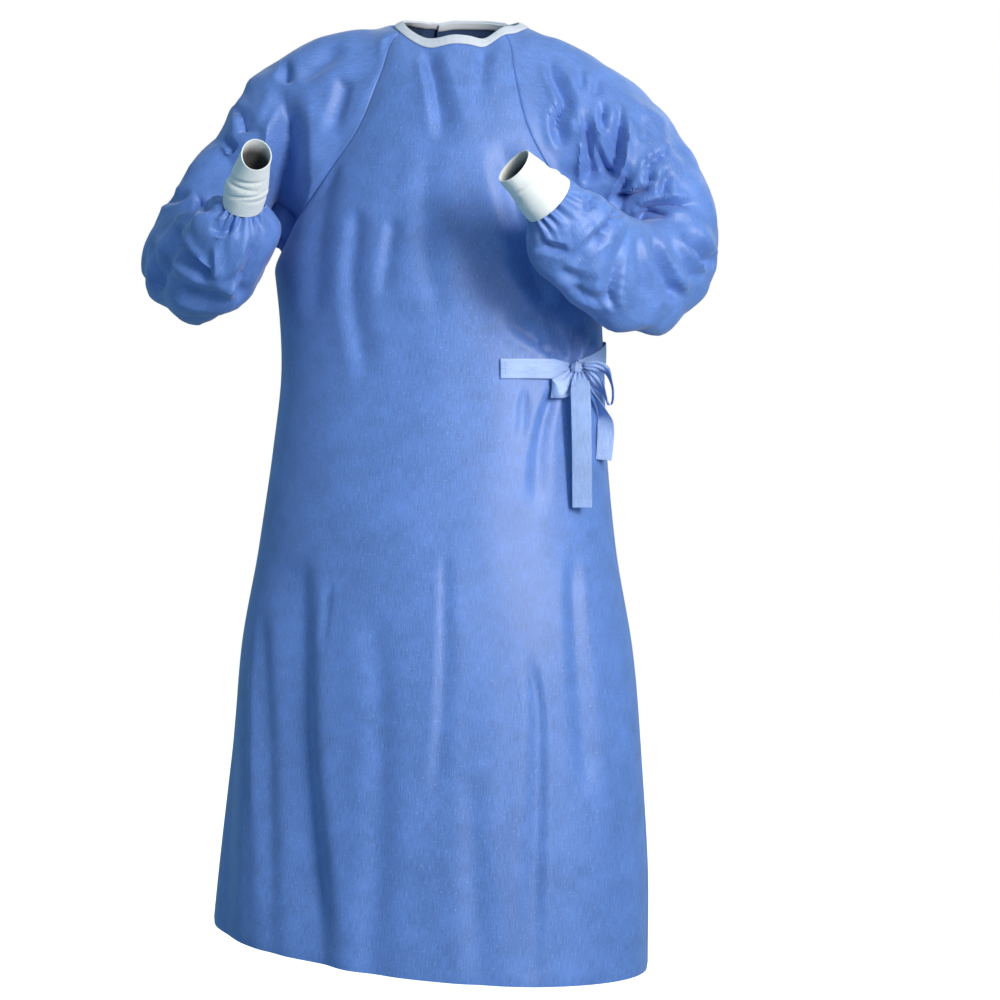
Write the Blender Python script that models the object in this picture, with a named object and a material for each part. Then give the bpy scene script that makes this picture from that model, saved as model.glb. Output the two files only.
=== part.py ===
"""Surgical gown with raglan sleeves, filled out as it is when worn, with nobody in it.

Metres, +Z up. The front faces -Y and the wearer's left is +X. The origin is the middle of the neck
opening, level with the neck points of the shoulders, where the wearer's neck and shoulders hold it.
"""

import math
from collections import namedtuple

import bmesh
import bpy
import numpy as np
from mathutils import Vector
from mathutils.bvhtree import BVHTree

# Cloth and seams
WALL = 0.0012
CUFF_WALL = 0.0015
SEAM_GAP = 0.0003

# Neck opening: half its width, and its reach to the front and back
NECK_HALF_WIDTH = 0.077
NECK_CENTRE_X = -0.002
NECK_FRONT = 0.070
NECK_BACK = 0.062
# Height of its edge: the middle height, and how far the back and the two sides rise over it
NECK_MEAN_Z = -0.0004
NECK_BACK_RISE = 0.01775
NECK_SIDE_RISE = 0.0034
# The wearer's right shoulder stands this much higher than the left at the neck
NECK_TILT = 0.0040
# The straight band of cloth below the neck edge that the binding holds, and how far it leans out
COLLAR_DEPTH = 0.015
COLLAR_LEAN = 0.50
COLLAR_SIDE_LEAN = 0.35
# Turns round the neck, from the middle of the front, where the raglan seams start
FRONT_RAGLAN_TURN = math.radians(54)
BACK_RAGLAN_TURN = math.radians(132)

# Bias binding of the neck
BINDING_LEG = 0.0125
BINDING_WALL = 0.0010
BINDING_GAP = 0.0006

# The two backs, as shares of the back's width from -1, the right side seam, to 1, the left one
OUTER_BACK_END = 0.75
INNER_BACK_END_HEM = -0.30
INNER_BACK_END_NECK = -0.72
OUTER_BACK_OUTSET = 0.0055
OUTSET_SHARE = 0.25

# Mesh counts
FRONT_COLUMNS = 24
OUTER_BACK_COLUMNS = 16
INNER_BACK_COLUMNS = 12
SKIRT_ROWS = 14
YOKE_ROWS = 12
NECK_SEGMENTS = 8
SLEEVE_COLUMNS = 2 * YOKE_ROWS + NECK_SEGMENTS
GATHER_COLUMNS = 2 * SLEEVE_COLUMNS
CUFF_ROWS = 6

# A level of the body below the underarms: heights at the right seam, front and left seam, the two
# side seams' places across, and how far the front and back reach
Level = namedtuple("Level", "z_right z_mid z_left x_right x_left y_side y_front y_back")
LEVELS = (
    Level(-1.168, -1.194, -1.214, -0.3355, 0.2405, 0.005, -0.200, 0.190),
    Level(-1.060, -1.070, -1.085, -0.3240, 0.2415, 0.004, -0.192, 0.182),
    Level(-0.930, -0.935, -0.945, -0.3080, 0.2340, 0.002, -0.182, 0.170),
    Level(-0.800, -0.800, -0.800, -0.2965, 0.2210, 0.000, -0.172, 0.157),
    Level(-0.670, -0.670, -0.670, -0.2720, 0.1995, -0.002, -0.160, 0.145),
    Level(-0.550, -0.550, -0.550, -0.2530, 0.1890, -0.004, -0.149, 0.134),
    Level(-0.445, -0.445, -0.445, -0.2415, 0.1865, -0.005, -0.140, 0.128),
    Level(-0.370, -0.370, -0.370, -0.2450, 0.1835, -0.005, -0.140, 0.128),
    Level(-0.3185, -0.3185, -0.3185, -0.2510, 0.1850, -0.005, -0.142, 0.128),
)

# A row of a front or back above the underarms: its two ends on the raglan seams, its middle, and
# the angle that its arc sweeps to each side
Row = namedtuple("Row", "x_right y_right z_right x_left y_left z_left y_mid z_mid sweep")
FRONT_YOKE = (
    Row(-0.214, -0.062, -0.265, 0.172, -0.060, -0.265, -0.145, -0.265, math.radians(75)),
    Row(-0.160, -0.098, -0.203, 0.140, -0.094, -0.203, -0.142, -0.205, math.radians(60)),
    Row(-0.110, -0.108, -0.138, 0.108, -0.103, -0.138, -0.132, -0.142, math.radians(50)),
    Row(-0.088, -0.087, -0.072, 0.088, -0.084, -0.072, -0.112, -0.082, math.radians(50)),
)
BACK_YOKE = (
    Row(-0.222, 0.058, -0.265, 0.172, 0.058, -0.265, 0.131, -0.265, math.radians(75)),
    Row(-0.180, 0.090, -0.203, 0.150, 0.090, -0.203, 0.134, -0.203, math.radians(60)),
    Row(-0.134, 0.104, -0.138, 0.122, 0.104, -0.138, 0.130, -0.138, math.radians(50)),
    Row(-0.098, 0.086, -0.068, 0.096, 0.086, -0.068, 0.109, -0.068, math.radians(50)),
)
COLLAR_KNOTS = (-0.0285, -0.0135)

# A ring of a sleeve: the point on its outer line over the shoulder and elbow, the point on its
# inner line from the underarm through the crook of the elbow, and half its width across these
Station = namedtuple("Station", "outer inner half_width")
SLEEVE_LEFT = (
    Station((0.153, 0.002, -0.031), (0.200, 0.000, -0.3160), 0.100),
    Station((0.237, 0.000, -0.088), (0.213, -0.006, -0.3000), 0.088),
    Station((0.297, 0.002, -0.166), (0.226, -0.018, -0.2800), 0.080),
    Station((0.327, 0.016, -0.244), (0.236, -0.040, -0.2635), 0.068),
    Station((0.317, 0.007, -0.331), (0.248, -0.068, -0.2670), 0.053),
    Station((0.272, -0.088, -0.398), (0.240, -0.097, -0.2535), 0.054),
    Station((0.212, -0.189, -0.383), (0.212, -0.130, -0.2370), 0.059),
    Station((0.165, -0.242, -0.315), (0.200, -0.180, -0.2300), 0.050),
    Station((0.150, -0.250, -0.271), (0.180, -0.2245, -0.2200), 0.032),
)
SLEEVE_RIGHT = (
    Station((-0.174, -0.007, -0.004), (-0.264, 0.000, -0.3160), 0.100),
    Station((-0.271, -0.011, -0.050), (-0.277, -0.004, -0.3030), 0.088),
    Station((-0.327, -0.006, -0.122), (-0.290, -0.014, -0.2860), 0.080),
    Station((-0.393, -0.013, -0.227), (-0.298, -0.036, -0.2720), 0.070),
    Station((-0.419, -0.043, -0.314), (-0.298, -0.064, -0.2600), 0.066),
    Station((-0.342, -0.118, -0.377), (-0.286, -0.098, -0.2440), 0.068),
    Station((-0.262, -0.185, -0.361), (-0.267, -0.130, -0.2340), 0.065),
    Station((-0.230, -0.222, -0.294), (-0.252, -0.160, -0.2260), 0.050),
    Station((-0.226, -0.2194, -0.2574), (-0.2387, -0.185, -0.2250), 0.0245),
)
# Rounds in which the cloth inside a bent elbow is eased, so that it doesn't cross itself
EASING_ROUNDS = 36
# Rings that each stretch between stations is divided into; the last stretch is the gathered one
STRETCH_RINGS = (3, 2, 2, 2, 2, 2, 2, 2, 4)

# Cuffs: the way each one points, its length, and its radius at the sleeve, middle and opening
Cuff = namedtuple("Cuff", "axis length base middle opening")
CUFF_LEFT = Cuff((-0.565, -0.556, 0.613), 0.062, 0.0320, 0.0285, 0.0245)
CUFF_RIGHT = Cuff((0.320, -0.586, 0.743), 0.077, 0.0240, 0.0265, 0.0245)

# Gathers where a sleeve is sewn to its cuff: how many, and their height at the seam and past it, as
# shares of the sleeve's radius
GATHERS = 13
GATHER_AT_SEAM = 0.02
GATHER_HEIGHT = 0.038

# Ties: width and wall of the straps, and the knot's middle and half sizes
TIE_WIDTH = 0.0245
TIE_PINCHED = 0.016
TIE_CLEARANCE = 0.0014
TIE_SEWN_CLEARANCE = 0.0004
TIE_Z = -0.4450
TIE_FRONT_START = (0.073, -0.118)
TIE_SIDE_END = math.radians(118)
# How far the ties stand off the gown at the knot, and how much higher the side one lies at its end
TIE_LIFT = 0.0045
TIE_SIDE_RISE = 0.024
KNOT_CENTRE = (0.1665, -0.0790, -0.4440)
KNOT_HALF = (0.0095, 0.0065, 0.0085)
KNOT_SQUARENESS = 2.6

# A point on a strap of the bow, from the knot's middle: its place, the way across it and its width
Bend = namedtuple("Bend", "x y z across_x across_y across_z width")
BOW_STRAPS = {
    "bow_loop_front": (
        Bend(-0.0050, -0.0074, -0.0045, -0.75, 0.00, 0.60, 0.0100),
        Bend(-0.0120, -0.0160, -0.0150, -0.70, 0.00, 0.70, 0.0190),
        Bend(-0.0205, -0.0222, -0.0245, -0.20, 0.00, 1.00, 0.0235),
        Bend(-0.0280, -0.0185, -0.0255, 0.00, 0.00, 1.00, 0.0245),
        Bend(-0.0205, -0.0145, -0.0262, -0.05, 0.00, 1.00, 0.0235),
        Bend(-0.0110, -0.0125, -0.0255, -0.20, 0.00, 0.95, 0.0200),
        Bend(-0.0010, -0.0088, -0.0150, -0.70, 0.00, 0.70, 0.0110),
    ),
    "bow_tail_front": (
        Bend(0.0050, -0.0062, -0.0050, 1.00, 0.00, 0.00, 0.0090),
        Bend(0.0080, -0.0200, -0.0170, 1.00, 0.12, 0.00, 0.0200),
        Bend(0.0094, -0.0205, -0.0300, 1.00, 0.14, 0.00, 0.0245),
        Bend(0.0102, -0.0165, -0.1000, 1.00, 0.16, 0.00, 0.0245),
        Bend(0.0100, -0.0130, -0.1745, 1.00, 0.14, 0.00, 0.0245),
    ),
    "bow_loop_side": (
        Bend(0.0104, 0.0010, 0.0030, 0.00, 0.00, 1.00, 0.0080),
        Bend(0.0225, 0.0190, 0.0025, 0.40, -0.40, 0.80, 0.0140),
        Bend(0.0315, 0.0335, -0.0060, 0.30, -0.85, 0.30, 0.0190),
        Bend(0.0372, 0.0425, -0.0240, 0.30, -0.95, 0.00, 0.0210),
        Bend(0.0372, 0.0435, -0.0410, 0.30, -0.95, 0.00, 0.0220),
        Bend(0.0335, 0.0425, -0.0455, 0.30, -0.95, 0.00, 0.0220),
        Bend(0.0290, 0.0400, -0.0340, 0.30, -0.90, 0.10, 0.0210),
        Bend(0.0185, 0.0300, -0.0150, 0.60, -0.40, 0.60, 0.0160),
        Bend(0.0104, 0.0110, -0.0040, 0.20, 0.00, 0.95, 0.0080),
    ),
    "bow_tail_side": (
        Bend(0.0060, 0.0020, -0.0078, 0.24, -0.97, 0.00, 0.0080),
        Bend(0.0160, 0.0190, -0.0290, 0.30, -0.95, 0.00, 0.0140),
        Bend(0.0262, 0.0370, -0.0545, 0.60, -0.60, 0.00, 0.0190),
        Bend(0.0292, 0.0420, -0.0740, 0.90, 0.05, 0.00, 0.0210),
        Bend(0.0288, 0.0420, -0.0955, 0.92, 0.25, 0.00, 0.0210),
        Bend(0.0270, 0.0400, -0.1160, 0.90, 0.20, 0.05, 0.0200),
    ),
}
STEPS_BETWEEN_BENDS = 3
# The way that each strap's outer face looks at the knot
BOW_FACING = {
    "bow_loop_front": (0, -1, 0), "bow_tail_front": (0, -1, 0),
    "bow_loop_side": (0, 0, 1), "bow_tail_side": (-1, 0, 0),
}

# The largest folds, as seen square on from a turn to the wearer's left: points across and up, half
# the width, the depth at each end (less than zero for a ridge), and the nearness that it lies in
Fold = namedtuple("Fold", "turn line half_width depth_start depth_end nearest farthest")
FRONT_VIEW = math.radians(14)
BACK_VIEW = math.radians(194)
# How squarely cloth must face a fold's side to take its whole depth, and how its reach fades out
FOLD_FACING = 0.4
FOLD_FADE = 0.03
FOLDS = (
    Fold(FRONT_VIEW, ((-0.190, -0.620), (-0.204, -0.934), (-0.206, -1.300)), 0.060, 0.003, 0.014, 1, 0),
    Fold(FRONT_VIEW, ((-0.252, -0.680), (-0.264, -1.300)), 0.044, -0.001, -0.006, 1, 0),
    Fold(FRONT_VIEW, ((-0.060, -0.600), (-0.050, -1.300)), 0.080, 0.001, -0.008, 1, 0),
    Fold(FRONT_VIEW, ((0.130, -0.600), (0.150, -1.300)), 0.065, 0.003, 0.010, 1, 0),
    Fold(FRONT_VIEW, ((0.140, -0.420), (0.046, -0.370), (-0.078, -0.263)), 0.042, 0.012, 0.004, 0.16, 0),
    Fold(FRONT_VIEW, ((0.145, -0.395), (0.110, -0.290)), 0.036, 0.008, 0.003, 0.16, 0),
    Fold(FRONT_VIEW, ((-0.133, -0.253), (-0.142, -0.336), (-0.120, -0.480)), 0.040, 0.008, 0.004, 1, 0.02),
    Fold(FRONT_VIEW, ((-0.040, -0.060), (-0.028, -0.200)), 0.034, 0.006, 0.001, 1, 0.02),
    Fold(FRONT_VIEW, ((0.198, -0.225), (0.200, -0.108)), 0.027, 0.018, 0.004, 1, 0.02),
    Fold(FRONT_VIEW, ((0.160, -0.225), (0.150, -0.110)), 0.024, 0.010, 0.003, 1, 0.03),
    Fold(FRONT_VIEW, ((0.225, -0.240), (0.285, -0.206)), 0.024, 0.014, 0.003, 1, 0.02),
    Fold(FRONT_VIEW, ((0.205, -0.270), (0.178, -0.374)), 0.024, 0.012, 0.003, 1, 0.10),
    Fold(FRONT_VIEW, ((0.232, -0.262), (0.280, -0.360)), 0.026, 0.014, 0.003, 1, 0.04),
    Fold(FRONT_VIEW, ((-0.257, -0.290), (-0.250, -0.200), (-0.232, -0.090)), 0.036, 0.026, 0.006, 0.14, 0),
    Fold(FRONT_VIEW, ((-0.276, -0.190), (-0.290, -0.091)), 0.024, 0.012, 0.003, 0.12, -0.05),
    Fold(FRONT_VIEW, ((-0.360, -0.220), (-0.321, -0.334)), 0.026, 0.014, 0.004, 1, -0.02),
    Fold(FRONT_VIEW, ((-0.290, -0.275), (-0.350, -0.262)), 0.022, 0.012, 0.003, 1, 0.06),
    Fold(BACK_VIEW, ((0.150, -0.560), (0.180, -1.300)), 0.060, 0.003, 0.014, 1, 0),
    Fold(BACK_VIEW, ((-0.060, -0.520), (-0.075, -1.300)), 0.065, 0.003, 0.013, 1, 0),
    Fold(BACK_VIEW, ((0.050, -0.640), (0.060, -1.300)), 0.060, -0.001, -0.008, 1, 0),
    Fold(BACK_VIEW, ((-0.160, -0.430), (-0.040, -0.330), (0.060, -0.230)), 0.046, 0.012, 0.004, 1, 0),
    Fold(BACK_VIEW, ((-0.215, -0.280), (-0.190, -0.110)), 0.036, 0.020, 0.005, 1, -0.02),
    Fold(BACK_VIEW, ((0.270, -0.280), (0.235, -0.110)), 0.036, 0.020, 0.005, 1, -0.02),
)

BLUE = (0.120, 0.215, 0.480)
SLEEVE_BLUE = (0.128, 0.228, 0.500)
TIE_BLUE = (0.240, 0.370, 0.680)
CUFF_WHITE = (0.860, 0.870, 0.850)
BINDING_WHITE = (0.660, 0.700, 0.800)
CLOTH_ROUGHNESS = 0.75
KNIT_ROUGHNESS = 0.9


def mix(a, b, share):
    return a + (b - a) * share


def smoothstep(value):
    value = np.clip(value, 0.0, 1.0)
    return value * value * (3 - 2 * value)


def unit(vectors):
    vectors = np.asarray(vectors, float)
    return vectors / np.linalg.norm(vectors, axis=-1, keepdims=True)


def through(knots, points, at, from_below=(), from_above=()):
    """Smooth curves through rows of points, one curve a column. At the rows named in from_below or
    from_above the curves take the slope of the straight step below or above that row."""
    knots = np.asarray(knots, float)
    points = np.asarray(points, float)
    steps = np.diff(knots)[:, None, None]
    slopes = np.diff(points, axis=0) / steps
    tangents = np.concatenate([slopes[:1], slopes])
    both = (slopes[:-1] * steps[1:] + slopes[1:] * steps[:-1]) / (steps[1:] + steps[:-1])
    tangents[1:-1] = both
    for row in from_below:
        tangents[row] = slopes[row - 1]
    for row in from_above:
        tangents[row] = slopes[row]
    at = np.asarray(at, float)
    low = np.clip(np.searchsorted(knots, at, side="right") - 1, 0, len(knots) - 2)
    step = steps[low]
    share = ((at - knots[low]) / np.diff(knots)[low])[:, None, None]
    near = (1 + 2 * share) * (1 - share) ** 2 * points[low] + share * (1 - share) ** 2 * step * tangents[low]
    far = share**2 * (3 - 2 * share) * points[low + 1] - share**2 * (1 - share) * step * tangents[low + 1]
    return near + far


def row_points(row, shares):
    """Points of a row, for shares from -1 at its right end to 1 at its left end."""
    across = np.sin(shares * row.sweep) / math.sin(row.sweep)
    bulge = (np.cos(shares * row.sweep) - math.cos(row.sweep)) / (1 - math.cos(row.sweep))
    side = (1 + across) / 2
    x = mix(row.x_right, row.x_left, side)
    y = mix(row.y_right, row.y_left, side) + (row.y_mid - (row.y_right + row.y_left) / 2) * bulge
    z = mix(row.z_right, row.z_left, side)
    z = z + (row.z_mid - (row.z_right + row.z_left) / 2) * (1 - across**2)
    return np.stack([x, y, z], axis=-1)


def level_row(level, y_mid):
    """The front or back row of a level of the body."""
    return Row(
        level.x_right, level.y_side, level.z_right, level.x_left, level.y_side, level.z_left,
        y_mid, level.z_mid, math.pi / 2,
    )


def neck_edge(turns):
    """The neck edge, by the turn from the middle of the front towards the wearer's left."""
    reach = np.where(np.cos(turns) > 0, NECK_FRONT, NECK_BACK)
    z = NECK_MEAN_Z - NECK_BACK_RISE * np.cos(turns) - NECK_SIDE_RISE * np.cos(2 * turns)
    z = z - NECK_TILT * np.sin(turns)
    x = NECK_CENTRE_X + NECK_HALF_WIDTH * np.sin(turns)
    return np.stack([x, -reach * np.cos(turns), z], axis=-1)


def collar_foot(turns):
    """The foot of the straight band below the neck edge."""
    lean = COLLAR_LEAN + COLLAR_SIDE_LEAN * np.sin(turns) ** 2
    out = np.stack([np.sin(turns) * lean, -np.cos(turns) * lean, -np.sqrt(1 - lean**2)], axis=-1)
    return neck_edge(turns) + COLLAR_DEPTH * out


class Panel:
    """A front or back: smooth columns through the body's levels, the yoke's rows and the collar."""

    def __init__(self, rows, collar_turns):
        self.rows = rows
        self.collar_turns = collar_turns
        self.knots = [row.z_mid for row in rows] + list(COLLAR_KNOTS)

    def grid(self, knots, shares):
        """Points for each knot and share. Shares may be one list, or a list for each knot."""
        shares = np.broadcast_to(shares, (len(knots), np.shape(shares)[-1]))
        lines = [self.row_grid(knot, line) for knot, line in zip(knots, shares)]
        return np.stack(lines)

    def row_grid(self, knot, shares):
        turns = self.collar_turns(shares)
        stations = [row_points(row, shares) for row in self.rows]
        stations += [collar_foot(turns), neck_edge(turns)]
        underarm = len(LEVELS) - 1
        foot = len(self.rows)
        return through(self.knots, stations, [knot], (underarm,), (foot,))[0]


FRONT = Panel(
    [level_row(level, level.y_front) for level in LEVELS] + list(FRONT_YOKE),
    lambda shares: FRONT_RAGLAN_TURN * shares,
)
BACK = Panel(
    [level_row(level, level.y_back) for level in LEVELS] + list(BACK_YOKE),
    lambda shares: math.pi - (math.pi - BACK_RAGLAN_TURN) * shares,
)


def panel_knots():
    """Heights of the mesh rows: the skirt's, then the yoke's up to the collar's foot, then its top."""
    skirt = np.linspace(LEVELS[0].z_mid, LEVELS[-1].z_mid, SKIRT_ROWS + 1)
    yoke = np.linspace(LEVELS[-1].z_mid, COLLAR_KNOTS[0], YOKE_ROWS + 1)
    return np.concatenate([skirt, yoke[1:], COLLAR_KNOTS[1:]])


def grid_faces(rows, columns, closed=False):
    """Quads of a grid whose points are numbered row by row."""
    faces = []
    for row in range(rows - 1):
        for column in range(columns if closed else columns - 1):
            after = (column + 1) % columns
            faces.append((
                row * columns + column, row * columns + after,
                (row + 1) * columns + after, (row + 1) * columns + column,
            ))
    return faces


def corner_normals(points, faces):
    """Area-weighted normals summed at each point."""
    sums = np.zeros_like(points)
    for face in faces:
        corners = points[list(face)]
        if len(face) == 4:
            normal = np.cross(corners[2] - corners[0], corners[3] - corners[1])
        else:
            normal = np.cross(corners[1] - corners[0], corners[2] - corners[0])
        sums[list(face)] += normal
    return sums


class Cloth:
    """The outer skin of a piece of cloth: its points and faces."""

    def __init__(self, name, points, faces, colour, thickness=WALL):
        self.name = name
        self.points = np.asarray(points, float)
        self.faces = [tuple(int(corner) for corner in face) for face in faces]
        self.colour = colour
        self.thickness = thickness
        self.normals = None

    def flip(self):
        self.faces = [face[::-1] for face in self.faces]

    def boundary(self):
        """Edges with a face on one side only, in the direction of that face."""
        count = {}
        for face in self.faces:
            for a, b in zip(face, face[1:] + face[:1]):
                key = (min(a, b), max(a, b))
                count.setdefault(key, []).append((a, b))
        return [edges[0] for edges in count.values() if len(edges) == 1]


def share_normals(cloths):
    """Normals that pieces sewn together have in common along their seams."""
    places = {}
    for cloth in cloths:
        sums = corner_normals(cloth.points, cloth.faces)
        for index, point in enumerate(cloth.points):
            places.setdefault(tuple(np.round(point, 6)), []).append((cloth, index, sums[index]))
    for cloth in cloths:
        cloth.normals = np.zeros_like(cloth.points)
    for entries in places.values():
        total = sum(entry[2] for entry in entries)
        for cloth, index, _ in entries:
            cloth.normals[index] = total / np.linalg.norm(total)


def pull_back(cloth, distance):
    """Moves the edge of a piece into the piece, so that its neighbour's edge lies the gap away."""
    inward = {}
    for a, b in cloth.boundary():
        along = unit(cloth.points[b] - cloth.points[a])
        for index in (a, b):
            into = np.cross(cloth.normals[index], along)
            inward.setdefault(index, []).append(into / np.linalg.norm(into))
    for index, directions in inward.items():
        first, second = directions[0], directions[-1]
        spread = max(1 + float(first @ second), 0.5)
        cloth.points[index] += distance * (first + second) / spread


def folded(points, normals):
    """Points moved into their folds. A fold only marks the cloth that faces its own side."""
    moved = points.copy()
    for fold in FOLDS:
        sideways = np.array([math.cos(fold.turn), math.sin(fold.turn), 0.0])
        near = np.array([math.sin(fold.turn), -math.cos(fold.turn), 0.0])
        flat = np.stack([points @ sideways, points[:, 2]], axis=-1)
        line = np.array(fold.line)
        lengths = np.linalg.norm(np.diff(line, axis=0), axis=1)
        starts = np.concatenate([[0], np.cumsum(lengths)]) / lengths.sum()
        best = np.full(len(points), np.inf)
        along = np.zeros(len(points))
        for index, (start, end) in enumerate(zip(line[:-1], line[1:])):
            share = np.clip((flat - start) @ (end - start) / lengths[index] ** 2, 0, 1)
            away = np.linalg.norm(flat - start - share[:, None] * (end - start), axis=1)
            closer = away < best
            best[closer] = away[closer]
            along[closer] = mix(starts[index], starts[index + 1], share[closer])
        trough = np.clip(1 - (best / fold.half_width) ** 2, 0, 1) ** 2
        depth = mix(fold.depth_start, fold.depth_end, along) * trough
        depth = depth * smoothstep(normals @ near / FOLD_FACING)
        nearness = points @ near
        depth = depth * smoothstep((nearness - fold.farthest) / FOLD_FADE)
        depth = depth * smoothstep((fold.nearest - nearness) / FOLD_FADE)
        moved -= depth[:, None] * normals
    return moved


def material(name, colour, roughness):
    made = bpy.data.materials.new(name)
    made.use_nodes = True
    shader = made.node_tree.nodes["Principled BSDF"]
    shader.inputs["Base Color"].default_value = (*colour, 1.0)
    shader.inputs["Roughness"].default_value = roughness
    shader.inputs["Metallic"].default_value = 0.0
    return made


def add_object(name, points, faces, colour, roughness, collection):
    mesh = bpy.data.meshes.new(name)
    mesh.from_pydata([tuple(point) for point in points], [], faces)
    mesh.validate()
    mesh.shade_smooth()
    mesh.set_sharp_from_angle(angle=math.radians(50))
    mesh.materials.append(material(name, colour, roughness))
    made = bpy.data.objects.new(name, mesh)
    collection.objects.link(made)
    return made


def build_wall(cloth, collection, roughness=CLOTH_ROUGHNESS):
    """The closed wall of a piece: its outer skin, the skin a thickness inside it, and its edges."""
    count = len(cloth.points)
    inner = cloth.points - cloth.thickness * cloth.normals
    faces = list(cloth.faces)
    faces += [tuple(corner + count for corner in (face[0],) + face[:0:-1]) for face in cloth.faces]
    faces += [(b, a, a + count, b + count) for a, b in cloth.boundary()]
    return add_object(
        cloth.name, np.concatenate([cloth.points, inner]), faces, cloth.colour, roughness, collection
    )


def front_cloth():
    shares = np.linspace(-1, 1, FRONT_COLUMNS + 1)
    knots = panel_knots()
    grid = FRONT.grid(knots, shares)
    return Cloth("front", grid.reshape(-1, 3), grid_faces(len(knots), len(shares)), BLUE)


def back_cloths():
    """The outer back runs from the right side seam over the inner one, which is sewn to the left."""
    knots = panel_knots()
    outer_shares = np.linspace(-1, OUTER_BACK_END, OUTER_BACK_COLUMNS + 1)
    grid = BACK.grid(knots, outer_shares)
    faces = [face[::-1] for face in grid_faces(*grid.shape[:2])]
    flat = grid.reshape(-1, 3)
    outset = OUTER_BACK_OUTSET * smoothstep((outer_shares + 1) / OUTSET_SHARE)
    ways = unit(corner_normals(flat, faces)).reshape(grid.shape)
    ways[-2] = ways[-1]
    outer = Cloth("back_right_outer", (grid + outset[:, None] * ways).reshape(-1, 3), faces, BLUE)

    rise = (knots - knots[0]) / (knots[-1] - knots[0])
    ends = mix(INNER_BACK_END_HEM, INNER_BACK_END_NECK, rise)
    shares = np.stack([np.linspace(end, 1, INNER_BACK_COLUMNS + 1) for end in ends])
    grid = BACK.grid(knots, shares)
    faces = [face[::-1] for face in grid_faces(*grid.shape[:2])]
    inner = Cloth("back_left_inner", grid.reshape(-1, 3), faces, BLUE)
    return outer, inner


def seam_loop(side):
    """The armhole's loop: up the front seam, along the collar's foot, down the back seam."""
    knots = panel_knots()[SKIRT_ROWS:-1]
    front_seam = FRONT.grid(knots, [side])[:, 0]
    back_seam = BACK.grid(knots, [side])[:, 0]
    turns = side * np.linspace(FRONT_RAGLAN_TURN, BACK_RAGLAN_TURN, NECK_SEGMENTS + 1)
    return np.concatenate([front_seam, collar_foot(turns)[1:-1], back_seam[:0:-1]]), turns


def station_frame(stations, index, cuff, side):
    """The middle of a ring, its half axis to the outer line, and its half axis to the front."""
    outer, inner = np.array(stations[index].outer), np.array(stations[index].inner)
    middles = [(np.array(s.outer) + np.array(s.inner)) / 2 for s in stations]
    if index == len(stations) - 1:
        tangent = np.array(cuff.axis)
    else:
        tangent = middles[index + 1] - middles[max(index - 1, 0)]
    reach = (outer - inner) / 2
    across = unit(np.cross(tangent, reach)) * stations[index].half_width
    return middles[index], reach, side * across


def station_ring(stations, index, cuff, side, angles):
    middle, reach, forward = station_frame(stations, index, cuff, side)
    return middle - np.cos(angles)[:, None] * reach + np.sin(angles)[:, None] * forward


def eased(grid, angles):
    """Rings drawn towards their neighbours, fully on the inner line and not at all on the outer one.
    The first and last rings stay."""
    share = (1 + np.cos(angles))[:, None] / 4
    for _ in range(EASING_ROUNDS):
        around = (np.roll(grid, 1, axis=1) + np.roll(grid, -1, axis=1))[1:-1]
        between = (around + grid[:-2] + grid[2:]) / 4
        grid = grid.copy()
        grid[1:-1] += share * (between - grid[1:-1])
    return grid


def sleeve_grid(stations, cuff, side, columns_per_segment, rings):
    """Rings of a sleeve from the armhole's loop to the cuff. rings holds places from 0 at the loop
    to the number of stations at the cuff."""
    loop, _ = seam_loop(side)
    angles = np.linspace(0, 2 * math.pi, SLEEVE_COLUMNS, endpoint=False)
    lines = [loop] + [station_ring(stations, i, cuff, side, angles) for i in range(len(stations))]
    points = np.stack(lines)
    middles = points.mean(axis=1)
    knots = np.concatenate([[0], np.cumsum(np.linalg.norm(np.diff(middles, axis=0), axis=1))])
    at = np.interp(rings, np.arange(len(knots)), knots)
    grid = eased(through(knots, points, at), angles)
    if columns_per_segment > 1:
        finer = np.arange(SLEEVE_COLUMNS * columns_per_segment) / columns_per_segment
        around = np.concatenate([grid[:, -2:], grid, grid[:, :3]], axis=1).transpose(1, 0, 2)
        grid = through(np.arange(-2, SLEEVE_COLUMNS + 3), around, finer).transpose(1, 0, 2)
    return grid


def gathered(grid, middle, depth):
    """Raises gathers in rings near the cuff. depth is how far along each ring lies, from 0 where
    the gathers fade out to 1 at the seam."""
    columns = grid.shape[1]
    angles = np.arange(columns) * 2 * math.pi / columns
    uneven = 1 + 0.35 * np.sin(3 * angles + 1) + 0.25 * np.sin(5 * angles)
    wave = np.cos(GATHERS * angles) * uneven
    swell = np.sin(math.pi * np.clip(depth, 0, 1)) ** 0.8
    height = GATHER_HEIGHT * swell + GATHER_AT_SEAM * smoothstep(depth)
    return grid + (grid - middle) * (height[:, None] * wave)[:, :, None]


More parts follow.
